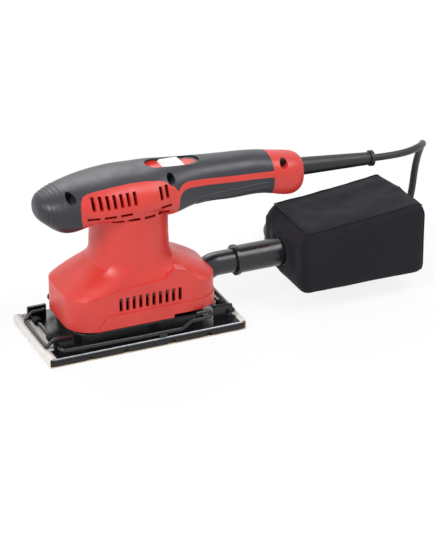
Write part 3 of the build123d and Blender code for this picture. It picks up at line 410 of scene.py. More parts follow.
# %% Dress the solids
slot_finish = {
    "red_shell": red_abs,
    "soft_grip": grip_tpe,
    "white_knob": white_abs,
    "black_cast_base": cast_black,
    "pad_rubber": foot_rubber,
    "abrasive_paper": white_abs,
    "black_wire": wire_black,
    "black_ears": wire_black,
    "bag_cloth": black_nylon,
    "black_plastic": black_nylon,
    "cord_rubber": cord_pvc,
    "plug_rubber": cord_pvc,
    "pin_brass": nickel_brass,
    "steel": turned_steel,
    "lamination_steel": lamination,
    "winding_copper": copper_wire,
    "carbon": carbon,
    "baffle_aluminium": cast_aluminium,
    "foot_rubber": foot_rubber,
    "capacitor_film": film_plastic,
}
for name, node in frame["nodes"].items():
    node.data.materials.clear()
    node.data.materials.append(slot_finish[node_slot[name]])
for name in ("housing_screws", "front_bail_springs", "rear_bail_springs"):
    frame["nodes"][name].data.materials[0] = black_oxide
print("dressed", len(frame["nodes"]))

# %% [markdown]
# ## Smooth copies of the moulded and cast pieces
# A solid arrives as loose triangles, which look faceted on a curve. The pieces could be modelled again by
# hand, but the solids already have the right form. So each visible one is copied, its corners are merged,
# it is shaded smooth, and its edges stay sharp only where the surface really turns.

# %% Smooth copies
merge_distance = 2e-6
sliver_length = 1e-6
sharp_angle = math.radians(30.0)


def finish_piece(piece, body, slot, *nodes):
    """Ride a piece on its body, and let it stand for its solids. The slot is not used."""
    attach(piece, body)
    if nodes:
        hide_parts(*nodes)
    return piece


def is_sharp(edge):
    """An edge where the surface turns by more than a smooth curve does."""
    return not edge.is_manifold or edge.calc_face_angle(0.0) >= sharp_angle


def smooth_copy(node):
    """A merged, smooth-shaded copy of a solid, which it stands for."""
    form = bmesh.new()
    form.from_mesh(frame["nodes"][node].data)
    bmesh.ops.remove_doubles(form, verts=form.verts, dist=merge_distance)
    bmesh.ops.dissolve_degenerate(form, edges=form.edges, dist=sliver_length)
    form.verts.index_update()
    places = [v.co.copy() for v in form.verts]
    rings = [[v.index for v in face.verts] for face in form.faces]
    sharp = {tuple(sorted(v.index for v in edge.verts)) for edge in form.edges if is_sharp(edge)}
    form.free()
    mesh = bpy.data.meshes.new(node + "_finished")
    mesh.from_pydata(places, [], rings)
    mesh.polygons.foreach_set("use_smooth", [True] * len(mesh.polygons))
    for edge in mesh.edges:
        edge.use_edge_sharp = tuple(sorted(edge.vertices)) in sharp
    mesh.materials.append(slot_finish[node_slot[node]])
    piece = bpy.data.objects.new(node + "_finished", mesh)
    bpy.context.scene.collection.objects.link(piece)
    return finish_piece(piece, node_body[node], node_slot[node], node)


for node in ("housing_left", "housing_right", "grip_left", "grip_right", "lower_grip_left",
             "lower_grip_right", "dust_spout", "bag_nozzle", "bag_clamp_ring", "cord_guard", "plug_body",
             "front_clamp_lever", "rear_clamp_lever", "front_paper_bail", "rear_paper_bail",
             "front_clamp_ears", "rear_clamp_ears", "lever_rests", "switch_knob", "base_plate"):
    made = smooth_copy(node)
    print(made.name, len(made.data.polygons))

# %% [markdown]
# The plate's outer edge is rounded over, and its rounded faces take a brighter bare-metal finish that paints a
# highlight along the rim as a bright line. A Bevel modifier would round every edge, and thin triangles would
# leave it no room. So the flat triangles are joined first, and only the rim's edges are rounded.

# %% Rim with a painted highlight
rim_height = 8.6
rim_round = 1.1
rim_slack = 0.02
rim_steps = 4
flat_angle = math.radians(0.5)
rim_angle = math.radians(60)
outside_deck = Vector((70.0, 40.0, 0.0))
base_mesh = bpy.data.objects["base_plate_finished"].data
# Slot 1 is the brighter metal that paints a highlight line along the rim.
base_mesh.materials.append(rim_painted_highlight)
form = bmesh.new()
form.from_mesh(base_mesh)
bmesh.ops.dissolve_limit(form, angle_limit=flat_angle, verts=form.verts, edges=form.edges)


def on_rim(vertex):
    """On the upper outer edge of the plate, clear of the deck in its middle."""
    spot = vertex.co / MM
    outside = abs(spot.x) > outside_deck.x or abs(spot.y) > outside_deck.y
    return outside and abs(spot.z - rim_height) < rim_slack


rim = [edge for edge in form.edges if on_rim(edge.verts[0]) and on_rim(edge.verts[1])]
rim = [edge for edge in rim if edge.calc_face_angle(0.0) > rim_angle]
# The bevel's faces take slot 1, the painted highlight.
bmesh.ops.bevel(form, geom=rim, offset=rim_round * MM, segments=rim_steps, profile=0.5, affect="EDGES",
                material=1)
for face in form.faces:
    face.smooth = True
form.to_mesh(base_mesh)
form.free()
print("rim edges", len(rim))

# %% [markdown]
# The soft grip also lines the two screw recesses that it surrounds. It could be modelled as a thin tube in
# each, but only its colour shows, so the red shell's faces in these recesses take the grip's finish. The
# recess in the red end cap stays red.

# %% Screw recesses
recess_spots = ((-60.0, 144.0, 9.0), (31.0, 147.5, 13.0))
recess_radius = 4.6
recess_slack = 0.05
mesh = bpy.data.objects["housing_left_finished"].data
mesh.materials.append(grip_tpe)
lined = 0
for face in mesh.polygons:
    middle = face.center / MM
    for x, z, seat in recess_spots:
        if middle.y < recess_slack - seat and math.hypot(middle.x - x, middle.z - z) < recess_radius:
            face.material_index = 1
            lined += 1
print("lined faces", lined)

# %% [markdown]
# ## Ribs on the grips
# The soft grip has low ribs across the nose, where the palm pushes, and along each side of the lower grip,
# where the fingers pull. Bump in the material would show no edge against the light, so they are real tubes,
# sunk in the skin. First each rib's line is dropped on the finished grip by rays towards the handle's axis.

# %% Rib lines
handle_axis = 130.0
nose_rib_spots = (-80.0, -76.4, -72.8, -69.2, -65.6)
nose_rib_reach = 112
nose_rib_step = 4
side_rib_angles = (104.0, 118.0, 132.0)
side_rib_ends = (58.0, 124.0)
side_rib_cells = 33
rib_radius = 0.8
nose_rib_proud = 0.35
side_rib_proud = 0.6
ray_reach = 80


def surface_of(*names):
    """The finished pieces' faces as one tree for rays."""
    places = []
    rings = []
    for name in names:
        mesh = bpy.data.objects[name + "_finished"].data
        start = len(places)
        places += [v.co.copy() for v in mesh.vertices]
        rings += [[start + index for index in face.vertices] for face in mesh.polygons]
    return BVHTree.FromPolygons(places, rings)


def dropped(surface, x, degrees, proud):
    """A rib point: where a ray towards the handle's axis meets the grip, sunk so that little stands proud."""
    angle = math.radians(degrees)
    way = Vector((0.0, math.sin(angle), math.cos(angle)))
    axis = Vector((x, 0.0, handle_axis)) * MM
    hit = surface.ray_cast(axis + way * ray_reach * MM, -way)[0]
    return None if hit is None else hit - way * (rib_radius - proud) * MM


upper_grips = surface_of("grip_left", "grip_right")
lower_grips = surface_of("lower_grip_left", "lower_grip_right")
rib_lines = []
for x in nose_rib_spots:
    turns = range(-nose_rib_reach, nose_rib_reach + 1, nose_rib_step)
    points = [dropped(upper_grips, x, degrees, nose_rib_proud) for degrees in turns]
    rib_lines.append([point for point in points if point])
first, last = side_rib_ends
side_rib_steps = [first + (last - first) * step / side_rib_cells for step in range(side_rib_cells + 1)]
for side in (-1, 1):
    for degrees in side_rib_angles:
        points = [dropped(lower_grips, x, side * degrees, side_rib_proud) for x in side_rib_steps]
        rib_lines.append([point for point in points if point])
print("rib lines", len(rib_lines), "points", [len(line) for line in rib_lines])

# %% [markdown]
# A Geometry Nodes tree sweeps a round section along every line. The ribs then follow the surface, and one
# input changes the thickness of all of them. What grew is kept as a plain mesh, because an exported model
# has no node trees. The same helpers grow the bag's stitches later.

# %% Growing on lines


def line_mesh(name, lines):
    """Poly lines as the edges of one mesh."""
    places = []
    edges = []
    for line in lines:
        start = len(places)
        places += line
        edges += [(start + step, start + step + 1) for step in range(len(line) - 1)]
    mesh = bpy.data.meshes.new(name)
    mesh.from_pydata(places, edges, [])
    return mesh


def group_tree(name, sockets):
    """A Geometry Nodes tree with named inputs, and the outputs that give them."""
    tree = bpy.data.node_groups.new(name, "GeometryNodeTree")
    tree.interface.new_socket("Geometry", in_out="INPUT", socket_type="NodeSocketGeometry")
    for label, kind in sockets:
        tree.interface.new_socket(label, in_out="INPUT", socket_type="NodeSocket" + kind)
    tree.interface.new_socket("Geometry", in_out="OUTPUT", socket_type="NodeSocketGeometry")
    return tree, add(tree, "NodeGroupInput").outputs


def end_tree(tree, shape, finish):
    """Realize the instances, smooth and paint them, and send them out."""
    real = add(tree, "GeometryNodeRealizeInstances", {"Geometry": shape})
    smooth = add(tree, "GeometryNodeSetShadeSmooth", {"Geometry": real.outputs[0]})
    coloured = add(tree, "GeometryNodeSetMaterial", {"Geometry": smooth.outputs[0], "Material": finish})
    add(tree, "NodeGroupOutput", {"Geometry": coloured.outputs[0]})


def grown(name, lines, tree, values):
    """Run a tree on lines, and keep what grew as a plain mesh."""
    seed = bpy.data.objects.new(name + "_lines", line_mesh(name + "_lines", lines))
    modifier = seed.modifiers.new("grow", "NODES")
    modifier.node_group = tree
    for item in tree.interface.items_tree:
        if item.in_out == "INPUT" and item.name in values:
            modifier[item.identifier] = values[item.name]
    bpy.context.scene.collection.objects.link(seed)
    depsgraph = bpy.context.evaluated_depsgraph_get()
    mesh = bpy.data.meshes.new_from_object(seed.evaluated_get(depsgraph))
    mesh.name = name
    seed.modifiers.clear()
    bpy.data.objects.remove(seed)
    piece = bpy.data.objects.new(name, mesh)
    bpy.context.scene.collection.objects.link(piece)
    print(name, len(mesh.polygons), "faces")
    return piece


# %% Rib tree
rib_sides = 10
rib_tree, given = group_tree("swept_rib", (("Rib radius", "Float"), ("Rib sides", "Int"),
                                           ("Finish", "Material")))
curve = add(rib_tree, "GeometryNodeMeshToCurve", {"Mesh": given["Geometry"]})
section = add(rib_tree, "GeometryNodeCurvePrimitiveCircle", {"Radius": given["Rib radius"],
                                                             "Resolution": given["Rib sides"]})
swept = add(rib_tree, "GeometryNodeCurveToMesh", {"Curve": curve.outputs[0],
                                                  "Profile Curve": section.outputs[0], "Fill Caps": True})
end_tree(rib_tree, swept.outputs[0], given["Finish"])
ribs = grown("grip_ribs", rib_lines, rib_tree, {
    "Rib radius": rib_radius * MM, "Rib sides": rib_sides, "Finish": grip_tpe})
finish_piece(ribs, "housing", "soft_grip")

# %% [markdown]
# ## Dust bag
# The bag is a sewn box of black polyester cloth, higher at its rear, with its top panel set in along a
# seam. Its weave could come from a tiled picture. Three crossed waves on Object coordinates do it without
# seams, and run on over every panel. The sheen is low, because dusty cloth shines little.

# %% Woven cloth
thread_mm = 1.3
cloth_patch_mm = 30.0
weave_height_mm = 0.12


def woven(name, main, deep, thread):
    """A plain weave, drawn coarser than the real 0.4 mm thread so that it shows, with a dusty sheen."""
    material, tree, shader, place = start_material(name)
    parts = add(tree, "ShaderNodeSeparateXYZ", {0: place})
    waves = []
    for axis in range(3):
        turn = add(tree, "ShaderNodeMath", {0: parts.outputs[axis], 1: math.pi * 1000 / thread},
                   operation="MULTIPLY")
        waves.append(add(tree, "ShaderNodeMath", {0: turn.outputs[0]}, operation="SINE"))
    sums = []
    for first, second in ((0, 1), (1, 2), (2, 0)):
        cross = add(tree, "ShaderNodeMath", {0: waves[first].outputs[0], 1: waves[second].outputs[0]},
                    operation="MULTIPLY")
        sums.append(cross.outputs[0])
    pair = add(tree, "ShaderNodeMath", {0: sums[0], 1: sums[1]}, operation="ADD")
    weave = add(tree, "ShaderNodeMath", {0: pair.outputs[0], 1: sums[2]}, operation="ADD")
    fold = add(tree, "ShaderNodeTexNoise", {"Vector": place, "Scale": 1000 / cloth_patch_mm, "Detail": 5.0})
    shade = add(tree, "ShaderNodeMath", {0: weave.outputs[0], 1: 0.12, 2: fold.outputs["Fac"]},
                operation="MULTIPLY_ADD")
    span = add(tree, "ShaderNodeMapRange", {"Value": shade.outputs[0], "From Min": 0.25, "From Max": 0.8})
    colour = add(tree, "ShaderNodeMix", {0: span.outputs[0], 6: linear(main), 7: linear(deep)},
                 data_type="RGBA")
    tree.links.new(colour.outputs[2], shader.inputs["Base Color"])
    bump = add(tree, "ShaderNodeBump", {"Height": weave.outputs[0], "Strength": 0.35,
                                        "Distance": weave_height_mm * MM})
    tree.links.new(bump.outputs[0], shader.inputs["Normal"])
    shader.inputs["Roughness"].default_value = 0.82
    shader.inputs["Specular IOR Level"].default_value = 0.2
    shader.inputs["Sheen Weight"].default_value = 0.05
    shader.inputs["Sheen Roughness"].default_value = 0.5
    return material


# Woven polyester: a flat black that shows its folds more than its gloss.
bag_cloth = woven("black_polyester_woven", "#1C1A22", "#131218", thread_mm)
print("cloth", bag_cloth.name, "thread", thread_mm, "mm")

# %% [markdown]
# A lattice of small quads gives the box, since cloth needs many even cells to crease in. Each lattice
# corner has its place by rule: a rounded box with a raised rear, strips that slope down round the top
# panel, a sagging top with one long fold, and a front panel that is drawn forward round the nozzle.

# %% Bag form
bag_low = Vector((147.5, -44.2, 17.0))
bag_high = Vector((272.5, 44.2, 76.0))
bag_slope = 11.5
bag_corner = 9.0
bag_start_inset = 0.8
bag_cells = (32, 22, 14)
strip_cells = 2
strip_drop = 7.5
side_strip_drop = 4.0
side_strip_fade = 0.8
slack_corner = 9.0
swirl_slow = 0.035
swirl_quick = 0.09
swirl_shift = Vector((7.0, 3.0, 1.0))
swirl_height = 0.9
top_sag = 2.6
fold_height = 2.4
fold_width = 0.05
fold_across = 0.35
fold_drift = 0.2
fold_start = 0.35
side_swell = 1.0
side_share = 0.6
nozzle_axis = Vector((0.0, 0.0, 46.0))
collar_reach = 2.8
collar_foot = 26.0
collar_run = 8.0


def bag_place(i, j, k):
    """A lattice corner of the bag, in metres."""
    share = Vector((i / bag_cells[0], j / bag_cells[1], k / bag_cells[2]))
    low = bag_low + Vector((1, 1, 1)) * bag_start_inset
    high = bag_high - Vector((1, 1, 1)) * bag_start_inset
    spot = Vector(low[a] + (high[a] - low[a]) * share[a] for a in range(3))
    core = Vector(min(max(spot[a], low[a] + bag_corner), high[a] - bag_corner) for a in range(3))
    away = spot - core
    if away.length > 1e-6:
        spot = core + away.normalized() * bag_corner
    along = (spot.x - bag_low.x) / (bag_high.x - bag_low.x)
    lift = bag_slope * along
    dip = strip_drop * max(0.0, 1 - i / strip_cells)
    edge = min(j, bag_cells[1] - j)
    if edge < strip_cells:
        dip = max(dip, side_strip_drop * (1 - edge / strip_cells) * (1 - side_strip_fade * along))
    spot.z += share.z * (lift - dip)
    spot.x -= slack_corner * share.x ** 5 * share.y ** 2 * share.z
    swirl = noise.noise(spot * swirl_slow) + 0.5 * noise.noise(spot * swirl_quick + swirl_shift)
    if share.z == 1.0:
        sag = top_sag * math.sin(math.pi * along) * (1 - (2 * share.y - 1) ** 2)
        spot.z += swirl_height * swirl - sag
        fold_side = (share.y - fold_across - fold_drift * along) / fold_width
        spot.z += fold_height * (math.exp(-fold_side ** 2) * max(0.0, along - fold_start))
    if i == 0:
        from_nozzle = math.hypot(spot.y - nozzle_axis.y, spot.z - nozzle_axis.z)
        spot.x -= collar_reach * min(1.0, max(0.0, (collar_foot - from_nozzle) / collar_run))
    if share.y in (0.0, 1.0):
        inward = swirl_height * swirl + side_swell * math.sin(math.pi * share.z)
        spot.y += side_share * inward * (1 if share.y == 0.0 else -1)
    return spot * MM


print("bag cells", bag_cells)

# %% [markdown]
# Six grids of quads share their edge corners, so the bag is closed with no doubled points. A subdivided
# cube would do as well, but the seams need each corner's number, and here a lattice key gives it.

# %% Bag quads
corner_index = {}
bag_places = []
bag_quads = []


def corner(key):
    """The number of a lattice corner, which is made at its first use."""
    if key not in corner_index:
        corner_index[key] = len(bag_places)
        bag_places.append(bag_place(*key))
    return corner_index[key]


def bag_quad(*keys):
    """One cell of the cloth, by its four lattice corners."""
    bag_quads.append([corner(key) for key in keys])


nx, ny, nz = bag_cells
for i in range(nx):
    for j in range(ny):
        bag_quad((i, j, 0), (i, j + 1, 0), (i + 1, j + 1, 0), (i + 1, j, 0))
        bag_quad((i, j, nz), (i + 1, j, nz), (i + 1, j + 1, nz), (i, j + 1, nz))
for i in range(nx):
    for k in range(nz):
        bag_quad((i, 0, k), (i + 1, 0, k), (i + 1, 0, k + 1), (i, 0, k + 1))
        bag_quad((i, ny, k), (i, ny, k + 1), (i + 1, ny, k + 1), (i + 1, ny, k))
for j in range(ny):
    for k in range(nz):
        bag_quad((0, j, k), (0, j, k + 1), (0, j + 1, k + 1), (0, j + 1, k))
        bag_quad((nx, j, k), (nx, j + 1, k), (nx, j + 1, k + 1), (nx, j, k + 1))
bag_mesh = bpy.data.meshes.new("dust_bag_cloth")
bag_mesh.from_pydata(bag_places, [], bag_quads)
bag = bpy.data.objects.new("dust_bag_cloth", bag_mesh)
bpy.context.scene.collection.objects.link(bag)
print("bag lattice", len(bag_places), "points")

# %% [markdown]
# A bag on a running sander is blown up a little, and its seams hold it. Sculpting could fake that, but a
# short cloth simulation finds it by itself: the sewn edges and the cloth round the nozzle are pinned, and a
# little air pressure lets each panel swell between them. A cap keeps the cloth inside the solid's box.

# %% Bag simulation
bag_pressure = 2.5
bag_frames = 20
bag_cap = 3.2
hole_radius = 14.0
pinned_ring = 6.0
strip_end = ny - strip_cells
top_loop = [(i, strip_cells, nz) for i in range(strip_cells, nx)]
top_loop += [(nx, j, nz) for j in range(strip_cells, strip_end)]
top_loop += [(i, strip_end, nz) for i in range(nx, strip_cells, -1)]
top_loop += [(strip_cells, j, nz) for j in range(strip_end, strip_cells, -1)]
top_panel_edge = set(top_loop)


def is_sewn(key):
    """On a sewn edge: at an end of the lattice in two directions, or on the edge of the top panel."""
    ends = sum(1 for value, cells in zip(key, bag_cells) if value in (0, cells))
    return ends >= 2 or key in top_panel_edge


sewn = bag.vertex_groups.new(name="sewn")
for key, index in corner_index.items():
    spot = bag_places[index] / MM - nozzle_axis
    near_nozzle = key[0] == 0 and math.hypot(spot.y, spot.z) < hole_radius + pinned_ring
    if is_sewn(key) or near_nozzle:
        sewn.add([index], 1.0, "REPLACE")
cloth = bag.modifiers.new("cloth", "CLOTH")
cloth.settings.quality = 5
cloth.settings.mass = 0.3
cloth.settings.tension_stiffness = 12.0
cloth.settings.compression_stiffness = 12.0
cloth.settings.bending_stiffness = 0.4
cloth.settings.use_pressure = True
cloth.settings.uniform_pressure_force = bag_pressure
cloth.settings.vertex_group_mass = "sewn"
cloth.settings.effector_weights.gravity = 0.0
for step in range(1, bag_frames + 1):
    bpy.context.scene.frame_set(step)
evaluated = bag.evaluated_get(bpy.context.evaluated_depsgraph_get())
swollen = [v.co.copy() for v in evaluated.data.vertices]
bag.modifiers.clear()
bpy.context.scene.frame_set(1)
furthest = 0.0
for vertex, place in zip(bag_mesh.vertices, swollen):
    move = place - vertex.co
    furthest = max(furthest, move.length)
    if move.length > bag_cap * MM:
        move = move.normalized() * bag_cap * MM
    vertex.co += move
print("bag moved at most", round(furthest / MM, 2), "mm before the cap")
bag.vertex_groups.clear()

# %% [markdown]
# Cloth that has been folded for shipping keeps shallow dents and creases. A longer simulation with gravity
# would be slow and hard to steer. So they are added afterwards, as a slow and a quicker wave that fade
# towards the sewn edges, which hold the cloth straight.

# %% Bag creases
dent_height = 1.3
dent_size = 30.0
crease_height = 0.8
crease_size = 14.0
fade_cells = 3
dents = []
for key, index in corner_index.items():
    place = bag_mesh.vertices[index].co / MM
    slant = Vector((place.x + 0.6 * place.z, place.y - 0.4 * place.x, 1.7 * place.z))
    wave = dent_height * noise.noise(place / dent_size) + crease_height * noise.noise(slant / crease_size)
    from_ends = sorted(min(value, cells - value) for value, cells in zip(key, bag_cells))[1]
    dents.append(bag_mesh.vertices[index].normal * wave * min(1.0, from_ends / fade_cells))
for (key, index), dent in zip(corner_index.items(), dents):
    if key not in top_panel_edge:
        bag_mesh.vertices[index].co += dent * MM
bag_points = {key: bag_mesh.vertices[index].co.copy() for key, index in corner_index.items()}
print("bag creases up to", round(max(dent.length for dent in dents), 2), "mm")

# %% [markdown]
# The front panel has a hole for the nozzle. A Boolean cut would leave ragged triangles in the cloth, so the
# quads over the nozzle are deleted and the edge that is left is set in a ring round it. Solidify gives the
# cloth its thickness inwards, and one level of Subdivision Surface softens it.

# %% Bag hole and thickness
bag_thickness = 1.0
nozzle_radius = 12.55
hole_play = 0.4
front_depth = 4.0
form = bmesh.new()
form.from_mesh(bag_mesh)
hole = []
for face in form.faces:
    middle = face.calc_center_median() / MM - nozzle_axis
    if middle.x < bag_low.x + front_depth and math.hypot(middle.y, middle.z) < hole_radius:
        hole.append(face)
bmesh.ops.delete(form, geom=hole, context="FACES")
for vertex in form.verts:
    if vertex.is_boundary:
        out = Vector((0.0, vertex.co.y, vertex.co.z)) / MM - nozzle_axis
        ring = nozzle_axis + out.normalized() * (nozzle_radius + hole_play)
        vertex.co.y = ring.y * MM
        vertex.co.z = ring.z * MM
for face in form.faces:
    face.smooth = True
form.to_mesh(bag_mesh)
form.free()
bag_mesh.materials.append(bag_cloth)
wall = bag.modifiers.new("cloth_thickness", "SOLIDIFY")
wall.thickness = bag_thickness * MM
wall.offset = -1.0
round_off = bag.modifiers.new("soft", "SUBSURF")
round_off.levels = 1
round_off.render_levels = 1
print("bag faces", len(bag_mesh.polygons))

# %% [markdown]
# The panels meet in piped seams: one round the top panel, and one down each corner. A crease in the mesh
# would be too faint at this size, so each seam is a thin round cord on the lattice's own corners, in the
# same cloth.

# %% Bag seams
seam_radius = 0.55
seam_bevel_steps = 2
seam_keys = [top_loop]
for i, j in ((0, 0), (nx, 0), (nx, ny), (0, ny)):
    seam_keys.append([(i, j, k) for k in range(nz + 1)])
seam_curve = bpy.data.curves.new("dust_bag_seams", "CURVE")
seam_curve.dimensions = "3D"
seam_curve.bevel_depth = seam_radius * MM
seam_curve.bevel_resolution = seam_bevel_steps
for keys in seam_keys:
    line = seam_curve.splines.new("POLY")
    line.points.add(len(keys) - 1)
    line.use_cyclic_u = keys is top_loop
    for point, key in zip(line.points, keys):
        point.co = (*bag_points[key], 1.0)
seam_curve.materials.append(bag_cloth)
seams = bpy.data.objects.new("dust_bag_seams", seam_curve)
bpy.context.scene.collection.objects.link(seams)
finish_piece(bag, "bag", "bag_cloth", "dust_bag")
finish_piece(seams, "bag", "bag_cloth")
print("seams", len(seam_keys))

# %% [markdown]
# Each seam is closed with a row of lockstitches. Placing hundreds by hand would be slow, so a Geometry
# Nodes tree walks along each seam line, sets a short thread on every step and turns it along the line.

# %% Bag stitches
stitch_pitch = 3.2
stitch_length = 2.3
stitch_drop = 1.5
stitch_lift = 0.1
thread_radius = 0.3
thread_sides = 6

stitch_tree, given = group_tree("stitch_row", (("Stitch pitch", "Float"), ("Stitch length", "Float"),
                                               ("Thread radius", "Float"), ("Finish", "Material")))
curve = add(stitch_tree, "GeometryNodeMeshToCurve", {"Mesh": given["Geometry"]})
steps = add(stitch_tree, "GeometryNodeCurveToPoints", {"Curve": curve.outputs[0],
                                                       "Length": given["Stitch pitch"]}, mode="LENGTH")
thread = add(stitch_tree, "GeometryNodeMeshCylinder", {"Vertices": thread_sides,
                                                       "Radius": given["Thread radius"],
                                                       "Depth": given["Stitch length"]})
row = add(stitch_tree, "GeometryNodeInstanceOnPoints", {"Points": steps.outputs["Points"],
                                                        "Instance": thread.outputs["Mesh"],
                                                        "Rotation": steps.outputs["Rotation"]})
end_tree(stitch_tree, row.outputs[0], given["Finish"])
bag_skin = BVHTree.FromObject(bag, bpy.context.evaluated_depsgraph_get())
bag_middle = (bag_low + bag_high) / 2 * MM
stitch_lines = []
for keys in seam_keys:
    line = []
    for key in keys + (keys[:1] if keys is top_loop else []):
        beside = bag_points[key] + (bag_middle - bag_points[key]).normalized() * stitch_drop * MM
        spot, way, _, _ = bag_skin.find_nearest(beside)
        line.append(spot + way * stitch_lift * MM)
    stitch_lines.append(line)
# Spun polyester thread: a shade lighter than the cloth, and matte.
thread_black = moulded("black_polyester_thread", "#2C2B30", "#232227", 0.6, 0.4, 0.05)
stitches = grown("dust_bag_stitches", stitch_lines, stitch_tree, {
    "Stitch pitch": stitch_pitch * MM, "Stitch length": stitch_length * MM,
    "Thread radius": thread_radius * MM, "Finish": thread_black})
finish_piece(stitches, "bag", "bag_cloth")

# %% [markdown]
# ## Sanding pad and paper
# The pad is a closed-cell foam block with small notches along its long edges, wider at the foot. Its
# outline is worked out by rule for each level, since the notches narrow upwards and end below the rounded
# upper edge. Boolean cuts would do it as well, but wouldn't leave such clean rows of quads.

# %% Pad outline
pad_length = 183.4
pad_width = 92.0
pad_corner = 4.0
corner_steps = 4
notch_spots = (-56.0, -22.0, 22.0, 56.0)


def pad_rounding(end, side, start):
    """One rounded corner of the pad, over a quarter turn from its start angle."""
    points = []
    for step in range(corner_steps + 1):
        angle = math.radians(start + 90 / corner_steps * step)
        x = end * (pad_length / 2 - pad_corner) + pad_corner * math.cos(angle)
        y = side * (pad_width / 2 - pad_corner) + pad_corner * math.sin(angle)
        points.append((x, y))
    return points


def pad_outline(notch_width, notch_reach):
    """The pad's edge seen from above, with its notches as wide and deep as they are at that level."""
    points = []
    edge = pad_width / 2
    deep = edge - notch_reach
    for side in (-1, 1):
        turn = 180 if side < 0 else 0
        points += pad_rounding(side, side, turn)
        reach = -side * notch_width / 2
        for x in notch_spots if side < 0 else notch_spots[::-1]:
            points += [(x - reach, side * edge), (x - reach, side * deep)]
            points += [(x + reach, side * deep), (x + reach, side * edge)]
        points += pad_rounding(-side, side, turn + 90)
    return points


print("outline points", len(pad_outline(1.0, 1.0)))

# %% [markdown]
# The outlines are stacked and joined by quads, with a quarter round at the top and the bottom edge. The
# foam's cut skin shows small dark cells, which come from a pattern of cells at their real size.

# %% Foam pad
foam_cell_mm = 0.9
foam_height_mm = 0.1
pad_low = 0.8
pad_high = 5.95
edge_round = 1.7
round_steps = 4
notch_foot = 8.4
notch_neck = 4.4
notch_depth = 5.0
notch_roof = 0.05
notch_top = pad_high - edge_round


def foam(name, main, deep):
    """Closed-cell foam: small dark cells in a matte skin."""
    material, tree, shader, place = start_material(name)
    cells = add(tree, "ShaderNodeTexVoronoi", {"Vector": place, "Scale": 1000 / foam_cell_mm})
    colour = add(tree, "ShaderNodeMix", {0: cells.outputs["Distance"], 6: linear(deep), 7: linear(main)},
                 data_type="RGBA")
    tree.links.new(colour.outputs[2], shader.inputs["Base Color"])
    bump = add(tree, "ShaderNodeBump", {"Height": cells.outputs["Distance"], "Strength": 0.4,
                                        "Distance": foam_height_mm * MM})
    tree.links.new(bump.outputs[0], shader.inputs["Normal"])
    shader.inputs["Roughness"].default_value = 0.78
    return material


arc = [math.radians(90 * step / round_steps) for step in range(round_steps + 1)]
levels = [(pad_low + edge_round * (1 - math.cos(turn)), edge_round * (1 - math.sin(turn))) for turn in arc]
levels.append((notch_top, 0.0))
for turn in arc:
    rise = notch_roof + (edge_round - notch_roof) * math.sin(turn)
    levels.append((notch_top + rise, edge_round * (1 - math.cos(turn))))
form = bmesh.new()
rings = []
for height, inset in levels:
    ring = []
    share = (height - pad_low) / (notch_top - pad_low)
    open_width = notch_foot + (notch_neck - notch_foot) * min(share, 1.0)
    for x, y in pad_outline(open_width, notch_depth if height <= notch_top else 0.0):
        shrink = Vector((x, y)) * (1 - inset / (pad_width / 2))
        ring.append(form.verts.new((shrink.x * MM, shrink.y * MM, height * MM)))
    rings.append(ring)
for lower, upper in zip(rings, rings[1:]):
    for index in range(len(lower)):
        after = (index + 1) % len(lower)
        form.faces.new((lower[index], lower[after], upper[after], upper[index]))
form.faces.new(rings[0][::-1])
form.faces.new(rings[-1])
bmesh.ops.remove_doubles(form, verts=form.verts, dist=1e-7)
bmesh.ops.triangulate(form, faces=[f for f in form.faces if len(f.verts) > 4])
bmesh.ops.recalc_face_normals(form, faces=form.faces)
pad_mesh = bpy.data.meshes.new("foam_pad_body")
form.to_mesh(pad_mesh)
form.free()
# EVA foam, cut from a block: a dull black with fine dark pores.
pad_mesh.materials.append(foam("black_eva_foam", "#1F1F20", "#101011"))
pad = bpy.data.objects.new("foam_pad_body", pad_mesh)
bpy.context.scene.collection.objects.link(pad)
finish_piece(pad, "base", "pad_rubber", "foam_pad")
print("pad faces", len(pad_mesh.polygons))

# %% [markdown]
# The abrasive sheet wraps both ends of the pad, and a bail presses each flap down. Its outer side is white
# stearate-coated grit, its back is tan paper, and its cut edges are paler. A line seen from the side gives
# the wrap, with round bends, because paper this stiff doesn't fold sharply.

# %% Sheet line
sheet_thickness = 0.8
sheet_half_length = 91.75
sheet_bend = 1.6
bend_steps = 4
face_steps = 20
flap_height = 8.65
flap_inner = 76.7
flap_shares = (0.0, 0.35, 0.7, 1.0)


def sheet_line():
    """The sheet's middle line seen from the side, from the front flap under the pad to the rear flap."""
    half = sheet_thickness / 2
    top = flap_height + half
    bend_x = sheet_half_length + half - sheet_bend
    line = [(-(flap_inner + (bend_x - flap_inner) * share), top) for share in flap_shares]
    for start, first, height in ((90, 1, top - sheet_bend), (180, 0, half + sheet_bend)):
        for step in range(first, bend_steps + 1):
            angle = math.radians(start + 90 / bend_steps * step)
            line.append((-bend_x + sheet_bend * math.cos(angle), height + sheet_bend * math.sin(angle)))
    face = [(-bend_x + 2 * bend_x * step / face_steps, half) for step in range(1, face_steps)]
    return line + face + [(-x, z) for x, z in reversed(line)]


line = sheet_line()
print("sheet line", len(line), "points")

# %% [markdown]
# The line is drawn across in narrow cells, and the flaps leave out the cells where the clamp's ears stand.
# Solidify gives the paper its thickness, and its material offsets paint the back and the cut edge.

# %% Abrasive paper
sheet_half_width = 45.5
across_cells = 44
flap_lip = 85.0
flap_half_width = 31.3
paper_patch_mm = 12.0
grit_height_mm = 0.15


